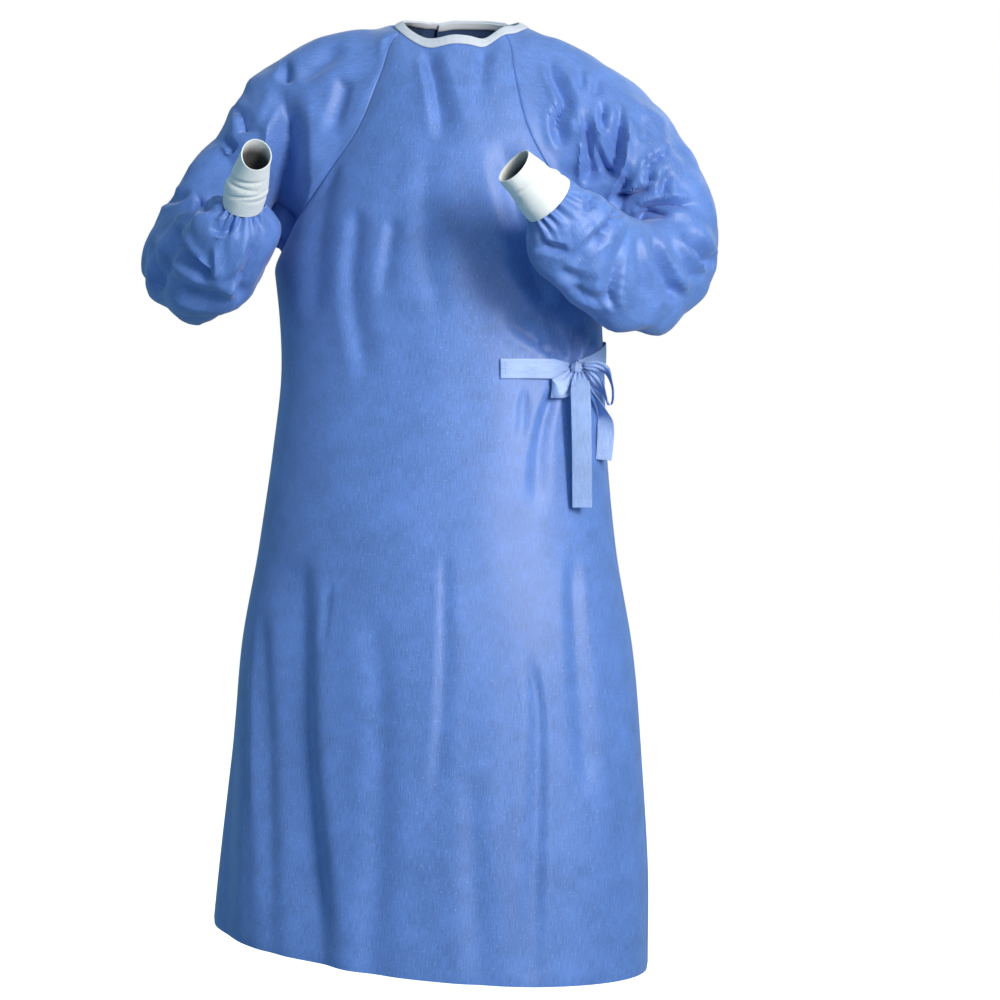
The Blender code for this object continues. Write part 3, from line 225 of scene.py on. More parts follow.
# A crease, as seen from a turn round the gown, in millimetres across and up from the origin: the
# cloth that it marks, the stretch of a sleeve from armhole to cuff that it may lie in, its path, its
# half widths and depths at both ends (a depth under zero is a ridge), how sharp it is, and how much
# steeper its right flank is than its left one, looking along the path
Crease = namedtuple("Crease", "where reach path widths depths crisp lean")
FRONT_CREASES = (
    # The wearer's right sleeve: shoulder and upper arm
    Crease("right", (0, 0.5), ((-88, -5), (-94, -22), (-95, -57), (-109, -82), (-136, -130), (-147, -146)),
        (16, 13), (7, 3), 0.6, 0.5),
    Crease("right", (0, 0.5), ((-151, -17), (-188, -44), (-225, -73)), (18, 14), (5, 5), 0.3, 0),
    Crease("right", (0, 0.5), ((-153, -62), (-162, -100), (-177, -146)), (12, 13), (4, 3), 0.3, 0),
    Crease("right", (0, 0.5), ((-228, -39), (-237, -70)), (6, 12), (3, 7), 0.6, 0.4),
    Crease("right", (0, 0.5), ((-233, -68), (-237, -130), (-242, -185), (-248, -243), (-254, -304)),
        (16, 34), (10, 30), 0.5, 0.5),
    Crease("right", (0, 0.5), ((-240, -73), (-256, -130)), (9, 10), (4, 4), 0.4, 0),
    Crease("right", (0, 0.5), ((-299, -99), (-290, -117), (-286, -142)), (6, 14), (3, 6), 0.8, 0.6),
    Crease("right", (0, 0.5), ((-315, -140), (-298, -159)), (5, 8), (2, 6), 0.8, 0),
    # Its forearm
    Crease("right", (0.45, 1), ((-347, -185), (-342, -211), (-339, -244)), (6, 12), (3, 6), 0.6, 0.3),
    Crease("right", (0.45, 1), ((-381, -239), (-360, -289), (-325, -329)), (18, 6), (6, 10), 0.7, -0.5),
    Crease("right", (0.45, 1), ((-334, -257), (-313, -263), (-290, -256)), (9, 9), (4, 4), 0.7, 0),
    Crease("right", (0.45, 1), ((-325, -276), (-321, -329)), (8, 8), (-2, -3), 0.6, 0),
    Crease("right", (0.45, 1), ((-321, -334), (-300, -332), (-280, -321)), (8, 10), (2, 5), 0.7, 0),
    Crease("right", (0.45, 1), ((-398, -224), (-373, -221), (-350, -209)), (10, 6), (6, 3), 0.7, 0),
    Crease("right", (0.45, 1), ((-404, -269), (-398, -304), (-394, -343)), (8, 9), (3, 5), 0.7, 0.3),
    Crease("right", (0.45, 1), ((-384, -265), (-385, -321)), (5, 9), (2, 4), 0.7, 0),
    Crease("right", (0.45, 1), ((-268, -265), (-276, -312), (-290, -360)), (9, 13), (4, 7), 0.6, 0),
    Crease("right", (0.45, 1), ((-368, -343), (-335, -354), (-300, -348)), (12, 12), (4, 3), 0.4, 0),
    Crease("right", (0.45, 1), ((-304, -198), (-313, -230)), (5, 8), (2, 3), 0.6, 0),
    # The wearer's left sleeve: shoulder and upper arm
    Crease("left", (0, 0.55), ((117, -29), (114, -56), (131, -96), (121, -122), (131, -159)),
        (9, 13), (4, 6), 0.6, 0.3),
    Crease("left", (0, 0.55), ((153, -49), (153, -81)), (8, 8), (2, 3), 0.5, 0),
    Crease("left", (0, 0.55), ((176, -53), (172, -88)), (8, 8), (2, 3), 0.5, 0),
    Crease("left", (0, 0.55), ((155, -100), (161, -152), (162, -205)), (5, 16), (3, 14), 0.8, 0.5),
    Crease("left", (0, 0.55), ((181, -90), (182, -138)), (6, 9), (3, 6), 0.7, 0),
    Crease("left", (0, 0.55), ((207, -91), (204, -133), (187, -203)), (5, 22), (4, 18), 0.8, -0.3),
    Crease("left", (0, 0.55), ((173, -147), (177, -165), (186, -195)), (5, 8), (4, 7), 1, 0),
    Crease("left", (0, 0.55), ((218, -168), (207, -208), (194, -231)), (10, 8), (4, 9), 0.8, 0),
    Crease("left", (0, 0.55), ((252, -203), (228, -213), (196, -230)), (9, 8), (5, 10), 0.9, 0.4),
    Crease("left", (0, 0.55), ((240, -185), (243, -203)), (9, 9), (3, 5), 0.7, 0),
    Crease("left", (0, 0.55), ((265, -181), (259, -220)), (8, 9), (3, 5), 0.6, 0),
    Crease("left", (0, 0.55), ((287, -150), (251, -169), (234, -187)), (8, 9), (4, 5), 0.8, 0.4),
    Crease("left", (0, 0.55), ((311, -229), (266, -228), (222, -238)), (8, 9), (5, 9), 1, 0),
    Crease("left", (0, 0.55), ((277, -242), (250, -242), (222, -248)), (8, 9), (3, 10), 0.9, 0),
    Crease("left", (0, 0.55), ((230, -109), (240, -146)), (10, 10), (2, 3), 0.3, 0),
    Crease("left", (0, 0.55), ((261, -109), (295, -172)), (12, 12), (2, 2), 0.2, 0),
    # Its forearm
    Crease("left", (0.45, 1), ((199, -234), (187, -257), (178, -272)), (8, 6), (6, 4), 0.8, 0.3),
    Crease("left", (0.45, 1), ((217, -257), (203, -303), (192, -369)), (8, 14), (4, 8), 0.8, -0.5),
    Crease("left", (0.45, 1), ((225, -255), (231, -304), (235, -354)), (6, 12), (3, 4), 0.5, 0),
    Crease("left", (0.45, 1), ((240, -252), (261, -304), (286, -358)), (8, 13), (4, 8), 0.8, -0.4),
    Crease("left", (0.45, 1), ((261, -255), (287, -299), (308, -334)), (8, 12), (3, 5), 0.6, 0),
    Crease("left", (0.45, 1), ((99, -280), (118, -289), (139, -291)), (8, 6), (5, 4), 0.8, 0),
    Crease("left", (0.45, 1), ((142, -312), (165, -285), (186, -265)), (6, 9), (4, 6), 0.8, 0),
    Crease("left", (0.45, 1), ((121, -317), (152, -330), (183, -328)), (9, 10), (4, 3), 0.5, 0),
    Crease("left", (0.45, 1), ((136, -341), (165, -352), (188, -372)), (12, 11), (5, 4), 0.5, 0.2),
    Crease("left", (0.45, 1), ((280, -263), (303, -290), (324, -315)), (9, 10), (7, 8), 0.9, 0.5),
    Crease("left", (0.45, 1), ((162, -213), (168, -237)), (8, 10), (3, 4), 0.5, 0),
    # The body
    Crease("body", (0, 1), ((-50, -27), (-41, -60), (-31, -112), (-26, -160)), (12, 20), (7, 4), 0.4, 0.3),
    Crease("body", (0, 1), ((27, -29), (22, -91)), (13, 13), (3, 2), 0.3, 0),
    Crease("body", (0, 1), ((-138, -230), (-147, -341), (-125, -471)), (14, 20), (4, 3), 0.3, 0.3),
    Crease("body", (0, 1), ((-90, -243), (-100, -302), (-109, -367)), (13, 13), (4, 2), 0.3, 0.3),
    Crease("body", (0, 1), ((-173, -159), (-188, -263), (-196, -393)), (18, 18), (3, 2), 0.2, 0),
    Crease("body", (0, 1), ((-43, -133), (-49, -263), (-30, -393)), (21, 18), (2, 2), 0.2, 0),
    Crease("body", (0, 1), ((48, -133), (74, -250), (110, -373)), (26, 18), (4, 5), 0.3, 0),
    Crease("body", (0, 1), ((44, -374), (98, -408), (130, -433)), (18, 8), (4, 9), 0.5, 0.4),
    Crease("body", (0, 1), ((110, -377), (134, -433)), (12, 5), (3, 6), 0.6, 0),
    Crease("body", (0, 1), ((146, -382), (147, -434)), (9, 5), (3, 6), 0.7, 0),
    Crease("body", (0, 1), ((173, -403), (159, -437)), (8, 5), (3, 5), 0.7, 0),
    Crease("body", (0, 1), ((173, -477), (162, -447)), (9, 5), (3, 5), 0.7, 0),
    Crease("body", (0, 1), ((121, -460), (100, -536), (95, -640)), (8, 18), (4, 2), 0.4, 0),
    Crease("body", (0, 1), ((79, -468), (75, -549)), (6, 12), (2, 1), 0.5, 0),
    Crease("body", (0, 1), ((-212, -672), (-211, -926), (-196, -1121), (-188, -1238)),
        (29, 44), (4, 14), 0.3, -0.35),
    Crease("body", (0, 1), ((-261, -744), (-256, -952), (-251, -1212)), (9, 16), (2, 4), 0.4, 0),
    Crease("body", (0, 1), ((-273, -796), (-272, -1043)), (5, 5), (-1.5, -1.5), 0.6, 0),
    Crease("body", (0, 1), ((-304, -900), (-311, -1173)), (16, 18), (3, 6), 0.3, 0),
    Crease("body", (0, 1), ((-174, -718), (-183, -815)), (6, 6), (2, 1.5), 0.5, 0),
    Crease("body", (0, 1), ((-26, -666), (-27, -848), (-38, -1004)), (9, 13), (2, 2), 0.4, 0.3),
    Crease("body", (0, 1), ((84, -809), (100, -900), (95, -1134)), (9, 21), (3, 4), 0.4, -0.3),
    Crease("body", (0, 1), ((142, -672), (147, -796), (165, -1004)), (10, 21), (3, 3), 0.3, 0),
    Crease("body", (0, 1), ((-118, -744), (-108, -952), (-118, -1212)), (21, 26), (2, 5), 0.2, 0),
    Crease("body", (0, 1), ((9, -952), (20, -1225)), (18, 26), (1, 5), 0.2, 0),
)
BACK_CREASES = (
    Crease("body", (0, 1), ((60, -60), (40, -190), (52, -330)), (18, 22), (3, 6), 0.3, 0.3),
    Crease("body", (0, 1), ((-70, -70), (-80, -200), (-60, -320)), (16, 20), (3, 5), 0.3, 0),
    Crease("body", (0, 1), ((-190, -440), (-90, -380), (20, -300)), (10, 22), (9, 3), 0.5, 0.3),
    Crease("body", (0, 1), ((-200, -470), (-120, -520), (-70, -640)), (8, 20), (7, 2), 0.4, 0),
    Crease("body", (0, 1), ((-185, -430), (-120, -330), (-90, -240)), (8, 16), (8, 3), 0.5, 0),
    Crease("body", (0, 1), ((170, -560), (178, -900), (186, -1240)), (22, 34), (3, 14), 0.3, 0.3),
    Crease("body", (0, 1), ((-70, -560), (-78, -860), (-84, -1240)), (18, 34), (3, 13), 0.3, 0),
    Crease("body", (0, 1), ((50, -640), (56, -1240)), (30, 40), (-1, -7), 0.2, 0),
    Crease("body", (0, 1), ((-150, -700), (-176, -1240)), (14, 26), (2, 9), 0.3, 0),
    Crease("right", (0, 0.5), ((180, -40), (196, -150), (222, -290)), (10, 30), (4, 22), 0.5, 0.4),
    Crease("right", (0, 0.5), ((260, -90), (286, -190)), (8, 12), (3, 8), 0.6, 0),
    Crease("right", (0, 0.5), ((330, -130), (300, -190), (276, -250)), (7, 10), (3, 8), 0.7, 0),
    Crease("right", (0.4, 1), ((372, -250), (330, -268), (280, -276)), (10, 8), (8, 6), 0.8, 0.3),
    Crease("right", (0.4, 1), ((384, -300), (350, -330), (320, -380)), (8, 12), (5, 7), 0.6, 0),
    Crease("left", (0, 0.5), ((-190, -60), (-212, -160), (-226, -280)), (10, 26), (4, 18), 0.5, -0.4),
    Crease("left", (0, 0.5), ((-240, -110), (-262, -210)), (7, 14), (3, 9), 0.7, 0),
    Crease("left", (0, 0.5), ((-318, -190), (-280, -230), (-244, -262)), (8, 9), (4, 9), 0.8, 0.3),
    Crease("left", (0.4, 1), ((-316, -270), (-270, -290), (-236, -286)), (9, 8), (7, 8), 0.8, 0),
    Crease("left", (0.4, 1), ((-312, -330), (-280, -352), (-250, -400)), (8, 11), (4, 7), 0.6, 0),
)

# Colours, from the cloth in plain light; the blue thread is the exception, darkened as painted shade of the hem lines
# that it sews
GOWN_BLUE = (0.098, 0.200, 0.530)
TIE_BLUE = (0.270, 0.390, 0.700)
CUFF_WHITE = (0.840, 0.855, 0.850)
BINDING_WHITE = (0.640, 0.670, 0.740)
# Real thread, darkened beyond the ties it sews as painted shade of a hem line
THREAD_BLUE_HEM_SHADE = (0.130, 0.220, 0.520)
THREAD_WHITE = (0.780, 0.800, 0.840)


def mix(a, b, share):
    return a + (b - a) * share


def smoothstep(value):
    value = np.clip(value, 0.0, 1.0)
    return value * value * (3 - 2 * value)


def unit(vectors):
    vectors = np.asarray(vectors, float)
    return vectors / np.linalg.norm(vectors, axis=-1, keepdims=True)


def through(knots, points, at, from_below=(), from_above=()):
    """Smooth curves through rows of points, one curve a column. At the rows named in from_below or
    from_above the curves take the slope of the straight step below or above that row."""
    knots = np.asarray(knots, float)
    points = np.asarray(points, float)
    steps = np.diff(knots)[:, None, None]
    slopes = np.diff(points, axis=0) / steps
    tangents = np.concatenate([slopes[:1], slopes])
    tangents[1:-1] = (slopes[:-1] * steps[1:] + slopes[1:] * steps[:-1]) / (steps[1:] + steps[:-1])
    for row in from_below:
        tangents[row] = slopes[row - 1]
    for row in from_above:
        tangents[row] = slopes[row]
    at = np.asarray(at, float)
    low = np.clip(np.searchsorted(knots, at, side="right") - 1, 0, len(knots) - 2)
    step = steps[low]
    share = ((at - knots[low]) / np.diff(knots)[low])[:, None, None]
    near = (1 + 2 * share) * (1 - share) ** 2 * points[low] + share * (1 - share) ** 2 * step * tangents[low]
    far = share**2 * (3 - 2 * share) * points[low + 1] - share**2 * (1 - share) * step * tangents[low + 1]
    return near + far


def finer(knots, steps):
    """The same knots with each stretch divided into equal steps."""
    places = np.linspace(0, len(knots) - 1, steps * (len(knots) - 1) + 1)
    return np.interp(places, np.arange(len(knots)), knots)


# The body's surfaces

def row_points(row, shares):
    """Points of a row, for shares from -1 at its right end to 1 at its left end."""
    across = np.sin(shares * row.sweep) / math.sin(row.sweep)
    bulge = (np.cos(shares * row.sweep) - math.cos(row.sweep)) / (1 - math.cos(row.sweep))
    side = (1 + across) / 2
    x = mix(row.x_right, row.x_left, side)
    y = mix(row.y_right, row.y_left, side) + (row.y_mid - (row.y_right + row.y_left) / 2) * bulge
    z = mix(row.z_right, row.z_left, side)
    z = z + (row.z_mid - (row.z_right + row.z_left) / 2) * (1 - across**2)
    return np.stack([x, y, z], axis=-1)


def level_row(level, y_mid):
    return Row(
        level.x_right, level.y_side, level.z_right, level.x_left, level.y_side, level.z_left,
        y_mid, level.z_mid, math.pi / 2,
    )


def neck_edge(turns):
    """The neck edge, by the turn from the middle of the front towards the wearer's left."""
    reach = np.where(np.cos(turns) > 0, NECK_FRONT, NECK_BACK)
    z = NECK_MEAN_Z - NECK_BACK_RISE * np.cos(turns) - NECK_SIDE_RISE * np.cos(2 * turns)
    z = z - NECK_TILT * np.sin(turns)
    x = NECK_CENTRE_X + NECK_HALF_WIDTH * np.sin(turns)
    return np.stack([x, -reach * np.cos(turns), z], axis=-1)


def collar_foot(turns):
    lean = COLLAR_LEAN + COLLAR_SIDE_LEAN * np.sin(turns) ** 2
    out = np.stack([np.sin(turns) * lean, -np.cos(turns) * lean, -np.sqrt(1 - lean**2)], axis=-1)
    return neck_edge(turns) + COLLAR_DEPTH * out


class Panel:
    """A front or back: smooth columns through the body's levels, the yoke's rows and the collar."""

    def __init__(self, rows, collar_turns):
        self.rows = rows
        self.collar_turns = collar_turns
        self.knots = [row.z_mid for row in rows] + list(COLLAR_KNOTS)

    def grid(self, knots, shares):
        """Points for each knot and share. Shares may be one list, or a list for each knot."""
        shares = np.broadcast_to(shares, (len(knots), np.shape(shares)[-1]))
        return np.stack([self.line(knot, row) for knot, row in zip(knots, shares)])

    def line(self, knot, shares):
        turns = self.collar_turns(shares)
        stations = [row_points(row, shares) for row in self.rows]
        stations += [collar_foot(turns), neck_edge(turns)]
        return through(self.knots, stations, [knot], (len(LEVELS) - 1,), (len(self.rows),))[0]


FRONT = Panel(
    [level_row(level, level.y_front) for level in LEVELS] + list(FRONT_YOKE),
    lambda shares: FRONT_RAGLAN_TURN * shares,
)
BACK = Panel(
    [level_row(level, level.y_back) for level in LEVELS] + list(BACK_YOKE),
    lambda shares: math.pi - (math.pi - BACK_RAGLAN_TURN) * shares,
)
SKIRT_KNOTS = finer(np.linspace(LEVELS[0].z_mid, LEVELS[-1].z_mid, SKIRT_ROWS + 1), FINE_SKIRT)
YOKE_KNOTS = finer(np.linspace(LEVELS[-1].z_mid, COLLAR_KNOTS[0], YOKE_ROWS + 1), FINE_YOKE)
PANEL_KNOTS = np.concatenate([SKIRT_KNOTS, YOKE_KNOTS[1:], finer(COLLAR_KNOTS, FINE_COLLAR)[1:]])
UNDERARM_Z = LEVELS[-1].z_mid


# Cloth as grids of points

def quads(grid):
    """The four corners of each cell of a grid of values."""
    cells = np.stack([grid[:-1, :-1], grid[:-1, 1:], grid[1:, 1:], grid[1:, :-1]], axis=2)
    return cells.reshape(-1, 4, *grid.shape[2:])


def lengths_along(points):
    """Distance from the first row of points to each row, column by column."""
    steps = np.linalg.norm(np.diff(points, axis=0), axis=-1)
    return np.concatenate([np.zeros((1, steps.shape[1])), np.cumsum(steps, axis=0)])


class Cloth:
    """The outer skin of a piece: points, faces, their places on the flat cloth in metres, and for
    each point how far along a sleeve it lies and how free it is of the armhole's seam."""

    def __init__(self, name, where):
        self.name = name
        self.where = where
        self.points = np.zeros((0, 3))
        self.reach = np.zeros(0)
        self.free = np.zeros(0)
        self.faces = np.zeros((0, 4), int)
        self.flats = np.zeros((0, 4, 2))
        self.normals = None

    def add_points(self, points, reach, free):
        start = len(self.points)
        self.points = np.concatenate([self.points, points.reshape(-1, 3)])
        self.reach = np.concatenate([self.reach, np.broadcast_to(reach, points.shape[:2]).ravel()])
        self.free = np.concatenate([self.free, np.broadcast_to(free, points.shape[:2]).ravel()])
        return start + np.arange(points.shape[0] * points.shape[1]).reshape(points.shape[:2])

    def add_faces(self, index, flat):
        self.faces = np.concatenate([self.faces, quads(index)])
        self.flats = np.concatenate([self.flats, quads(flat)])

    def flip(self):
        self.faces = self.faces[:, ::-1]
        self.flats = self.flats[:, ::-1]

    def normal_sums(self):
        corners = self.points[self.faces]
        normals = np.cross(corners[:, 2] - corners[:, 0], corners[:, 3] - corners[:, 1])
        sums = np.zeros_like(self.points)
        for corner in range(4):
            np.add.at(sums, self.faces[:, corner], normals)
        return sums

    def boundary(self):
        """Edges with a face on one side only, in the direction of that face."""
        start = self.faces.ravel()
        end = np.roll(self.faces, -1, axis=1).ravel()
        count = len(self.points)
        lone = ~np.isin(start * count + end, end * count + start)
        return start[lone], end[lone]


def share_normals(cloths):
    """Normals that pieces sewn together have in common along their seams."""
    points = np.concatenate([cloth.points for cloth in cloths])
    sums = np.concatenate([cloth.normal_sums() for cloth in cloths])
    _, same = np.unique(np.round(points, 5), axis=0, return_inverse=True)
    same = same.ravel()
    totals = np.zeros((same.max() + 1, 3))
    np.add.at(totals, same, sums)
    normals = unit(totals[same])
    start = 0
    for cloth in cloths:
        cloth.normals = normals[start : start + len(cloth.points)]
        start += len(cloth.points)


def panel_cloth(name, grid):
    """A front or back from its grid of points."""
    cloth = Cloth(name, "body")
    across = lengths_along(grid.transpose(1, 0, 2)).T
    from_edge = np.minimum(across, across[:, -1:] - across)
    above = smoothstep((PANEL_KNOTS - UNDERARM_Z) / 0.03)[:, None]
    free = mix(1.0, smoothstep(from_edge / 0.018), above)
    index = cloth.add_points(grid, 0.0, free)
    middle = grid.shape[1] // 2
    up = lengths_along(grid)[:, middle]
    flat = np.stack([across - across[:, middle : middle + 1], np.broadcast_to(up[:, None], across.shape)], axis=-1)
    cloth.add_faces(index, flat)
    cloth.collar = (index[-1], index[-1 - FINE_COLLAR])
    return cloth


def front_cloth():
    shares = np.linspace(-1, 1, FRONT_COLUMNS * FINE_COLUMNS + 1)
    return panel_cloth("front", FRONT.grid(PANEL_KNOTS, shares))


def back_cloths():
    """The outer back runs from the right side seam over the inner one, which is sewn to the left."""
    shares = np.linspace(-1, OUTER_BACK_END, OUTER_BACK_COLUMNS * FINE_COLUMNS + 1)
    grid = BACK.grid(PANEL_KNOTS, shares)
    ways = unit(np.cross(np.gradient(grid, axis=0), np.gradient(grid, axis=1)))
    ways[-1 - FINE_COLLAR :] = ways[-1]
    outset = OUTER_BACK_OUTSET * smoothstep((shares + 1) / OUTSET_SHARE)
    outer = panel_cloth("back_right_outer", grid + outset[:, None] * ways)
    outer.flip()

    rise = (PANEL_KNOTS - PANEL_KNOTS[0]) / (PANEL_KNOTS[-1] - PANEL_KNOTS[0])
    ends = mix(INNER_BACK_END_HEM, INNER_BACK_END_NECK, rise)
    shares = np.stack([np.linspace(end, 1, INNER_BACK_COLUMNS * FINE_COLUMNS + 1) for end in ends])
    inner = panel_cloth("back_left_inner", BACK.grid(PANEL_KNOTS, shares))
    inner.flip()
    return outer, inner


# Sleeves

def seam_loop(side, steps):
    """The armhole's loop: up the front seam, along the collar's foot, down the back seam."""
    knots = finer(np.linspace(UNDERARM_Z, COLLAR_KNOTS[0], YOKE_ROWS + 1), steps)
    front_seam = FRONT.grid(knots, [side])[:, 0]
    back_seam = BACK.grid(knots, [side])[:, 0]
    turns = side * np.linspace(FRONT_RAGLAN_TURN, BACK_RAGLAN_TURN, NECK_SEGMENTS * steps + 1)
    return np.concatenate([front_seam, collar_foot(turns)[1:-1], back_seam[:0:-1]]), turns


def station_frame(stations, index, cuff, side):
    """The middle of a ring, its half axis to the outer line, and its half axis to the front."""
    outer, inner = np.array(stations[index].outer), np.array(stations[index].inner)
    middles = [(np.array(s.outer) + np.array(s.inner)) / 2 for s in stations]
    if index == len(stations) - 1:
        tangent = np.array(cuff.axis)
    else:
        tangent = middles[index + 1] - middles[max(index - 1, 0)]
    reach = (outer - inner) / 2
    across = unit(np.cross(tangent, reach)) * stations[index].half_width
    return middles[index], reach, side * across


def station_ring(stations, index, cuff, side, angles):
    middle, reach, forward = station_frame(stations, index, cuff, side)
    return middle - np.cos(angles)[:, None] * reach + np.sin(angles)[:, None] * forward


def eased(grid, angles):
    """Rings drawn towards their neighbours, fully on the inner line and not at all on the outer one."""
    share = (1 + np.cos(angles))[:, None] / 4
    for _ in range(EASING_ROUNDS):
        around = (np.roll(grid, 1, axis=1) + np.roll(grid, -1, axis=1))[1:-1]
        between = (around + grid[:-2] + grid[2:]) / 4
        grid = grid.copy()
        grid[1:-1] += share * (between - grid[1:-1])
    return grid


def sleeve_rings(stations, cuff, side, rings):
    """Rings of a sleeve, for places from 0 at the armhole to the number of stations at the cuff."""
    angles = np.linspace(0, 2 * math.pi, SLEEVE_COLUMNS, endpoint=False)
    lines = [seam_loop(side, 1)[0]]
    lines += [station_ring(stations, i, cuff, side, angles) for i in range(len(stations))]
    points = np.stack(lines)
    middles = points.mean(axis=1)
    knots = np.concatenate([[0], np.cumsum(np.linalg.norm(np.diff(middles, axis=0), axis=1))])
    at = np.interp(rings, np.arange(len(knots)), knots)
    return eased(through(knots, points, at), angles)


def sleeve_cloth(name, where, stations, cuff, side):
    """A sleeve is a tube from the armhole's loop, with the strip of collar at its top."""
    last = len(STRETCH_RINGS) - 1
    plain = [0.0]
    for index, count in enumerate(STRETCH_RINGS[:-1]):
        plain += [index + (step + 1) / count for step in range(count)]
    fine = [last + (step + 1) / STRETCH_RINGS[-1] for step in range(STRETCH_RINGS[-1])]
    rings = [sleeve_rings(stations, cuff, side, places) for places in (plain, fine)]
    coarse = np.concatenate(rings)

    # Finer rings, then finer columns
    middles = coarse.mean(axis=1)
    knots = np.concatenate([[0], np.cumsum(np.linalg.norm(np.diff(middles, axis=0), axis=1))])
    grid = through(knots, coarse, finer(knots, FINE_RINGS))
    count = SLEEVE_COLUMNS * FINE_COLUMNS
    around = np.concatenate([grid[:, -2:], grid, grid[:, :3]], axis=1).transpose(1, 0, 2)
    columns = np.arange(count) / FINE_COLUMNS
    grid = through(np.arange(-2, SLEEVE_COLUMNS + 3), around, columns).transpose(1, 0, 2)

    # The armhole's own line, and the first rings drawn to it
    loop, turns = seam_loop(side, FINE_COLUMNS)
    along = lengths_along(grid)
    fade = 1 - smoothstep(along / 0.05)
    grid = grid + fade[..., None] * (loop - grid[0])

    cloth = Cloth(name, where)
    mean_along = along.mean(axis=1)
    share = mean_along / mean_along[-1]
    index = cloth.add_points(grid, share[:, None], smoothstep(along / 0.018))
    closed = np.concatenate([index, index[:, :1]], axis=1)
    ringed = np.concatenate([grid, grid[:, :1]], axis=1)
    around = lengths_along(ringed.transpose(1, 0, 2)).T
    places = around - around[:, -1:] / 2
    flat = np.stack(np.broadcast_arrays(places, mean_along[:, None]), axis=-1)
    cloth.add_faces(closed, flat)
    cloth.from_cuff = np.broadcast_to((mean_along[-1] - mean_along)[:, None], grid.shape[:2]).ravel()
    cloth.angles = np.broadcast_to(np.arange(count) * 2 * math.pi / count, grid.shape[:2]).ravel()
    cloth.tube = index

    strip_share = np.linspace(0, 1, FINE_COLLAR + 1)[1:, None, None]
    strip = mix(collar_foot(turns), neck_edge(turns), strip_share)
    high = cloth.add_points(strip, 0.0, 0.0)
    start = YOKE_ROWS * FINE_COLUMNS
    foot = index[0, start : start + len(turns)]
    rows = np.concatenate([foot[None], high])
    strip_down = -COLLAR_DEPTH * np.linspace(0, 1, FINE_COLLAR + 1)[:, None]
    flat = np.stack(np.broadcast_arrays(places[:1, start : start + len(turns)], strip_down), axis=-1)
    cloth.add_faces(rows[::-1], flat[::-1])
    cloth.collar = (high[-1], foot)
    if side > 0:
        cloth.flip()
    return cloth


def gather(cloth, radius_at_cuff):
    """Raises the gathers where a sleeve is sewn to its cuff, uneven in height and spacing."""
    count = cloth.tube.size
    angle, from_cuff = cloth.angles, cloth.from_cuff
    shifted = angle + 0.10 * np.sin(2 * angle + 0.7) + 0.06 * np.sin(5 * angle)
    wave = np.cos(GATHERS * shifted)
    uneven = 1 + 0.35 * np.sin(3 * angle + 1) + 0.25 * np.sin(7 * angle)
    reach = GATHER_LENGTH * (1 + 0.35 * np.sin(4 * angle + 2))
    swell = np.clip(1 - from_cuff / reach, 0, 1) ** 1.3
    sharp = np.sign(wave) * np.abs(wave) ** 0.8
    height = GATHER_HEIGHT * uneven * swell * sharp
    cloth.points[:count] += height[:, None] * cloth.normals[:count]


# Creases

def picture_plane(points, turn):
    """Places across and up in millimetres, as the camera would see them from a turn round the gown,
    and how near each point is."""
    near = points[:, 0] * math.sin(turn) - points[:, 1] * math.cos(turn)
    scale = 1 - near / VIEW_DISTANCE
    across = (points[:, 0] * math.cos(turn) + points[:, 1] * math.sin(turn)) / scale
    up = VIEW_HEIGHT + (points[:, 2] - VIEW_HEIGHT) / scale
    return np.stack([across, up], axis=-1) * 1000


def crease_depths(crease, cloth, flat, facing):
    """How deep a crease presses each point of a piece."""
    low, high = crease.reach
    weight = facing * cloth.free
    if crease.where != "body":
        weight = weight * smoothstep((cloth.reach - low) / 0.04 + (low == 0))
        weight = weight * smoothstep((high - cloth.reach) / 0.04 + (high == 1))
    path = np.array(crease.path, float)
    if path[-1, 1] < HEM_UP:
        path = np.concatenate([path, path[-1:] + 0.5 * (path[-1:] - path[-2:-1])])
    smooth = through(np.arange(len(path)), path[:, None], finer(np.arange(len(path)), 8))[:, 0]
    lengths = np.linalg.norm(np.diff(smooth, axis=0), axis=1)
    starts = np.concatenate([[0], np.cumsum(lengths)]) / lengths.sum()
    widest = CREASE_SPREAD * max(crease.widths)
    box_low, box_high = smooth.min(axis=0) - widest, smooth.max(axis=0) + widest
    chosen = np.flatnonzero((weight > 0) & (flat >= box_low).all(axis=1) & (flat <= box_high).all(axis=1))
    places = flat[chosen]
    best = np.full(len(chosen), np.inf)
    along = np.zeros(len(chosen))
    right = np.zeros(len(chosen))
    for number, (start, end) in enumerate(zip(smooth[:-1], smooth[1:])):
        way = end - start
        away = places - start
        share = np.clip(away @ way / (way @ way), 0, 1)
        distance = np.linalg.norm(away - share[:, None] * way, axis=1)
        closer = distance < best
        best[closer] = distance[closer]
        along[closer] = mix(starts[number], starts[number + 1], share[closer])
        right[closer] = (away[:, 0] * way[1] - away[:, 1] * way[0])[closer] / np.linalg.norm(way)
    half = mix(crease.widths[0], crease.widths[1], along)
    lean = crease.lean or OWN_LEAN * crease.crisp
    half = half * (1 - lean * np.clip(4 * right / half, -1, 1))
    across = best / half
    soft = (1 - across**2) * np.exp(-(across**2))
    sharp = np.interp(across, (0.0, 1.3, CREASE_SPREAD), (1.0, -0.24, 0.0))
    trough = mix(soft, sharp, crease.crisp) * smoothstep((CREASE_SPREAD - across) / 0.8)
    taper = min(CREASE_TAPER / lengths.sum(), 0.36)
    shallow_first = abs(crease.depths[0]) < abs(crease.depths[1])
    shallow_last = abs(crease.depths[0]) > abs(crease.depths[1])
    first = taper * (DEEP_END_TAPER if shallow_last else 1.0)
    last = taper * (DEEP_END_TAPER if shallow_first else 1.0)
    ends = smoothstep(along / first) * smoothstep((1 - along) / last)
    depth = mix(crease.depths[0], crease.depths[1], along) * trough * ends
    return chosen, depth * weight[chosen] * CREASE_GAIN[crease.where] * 0.001


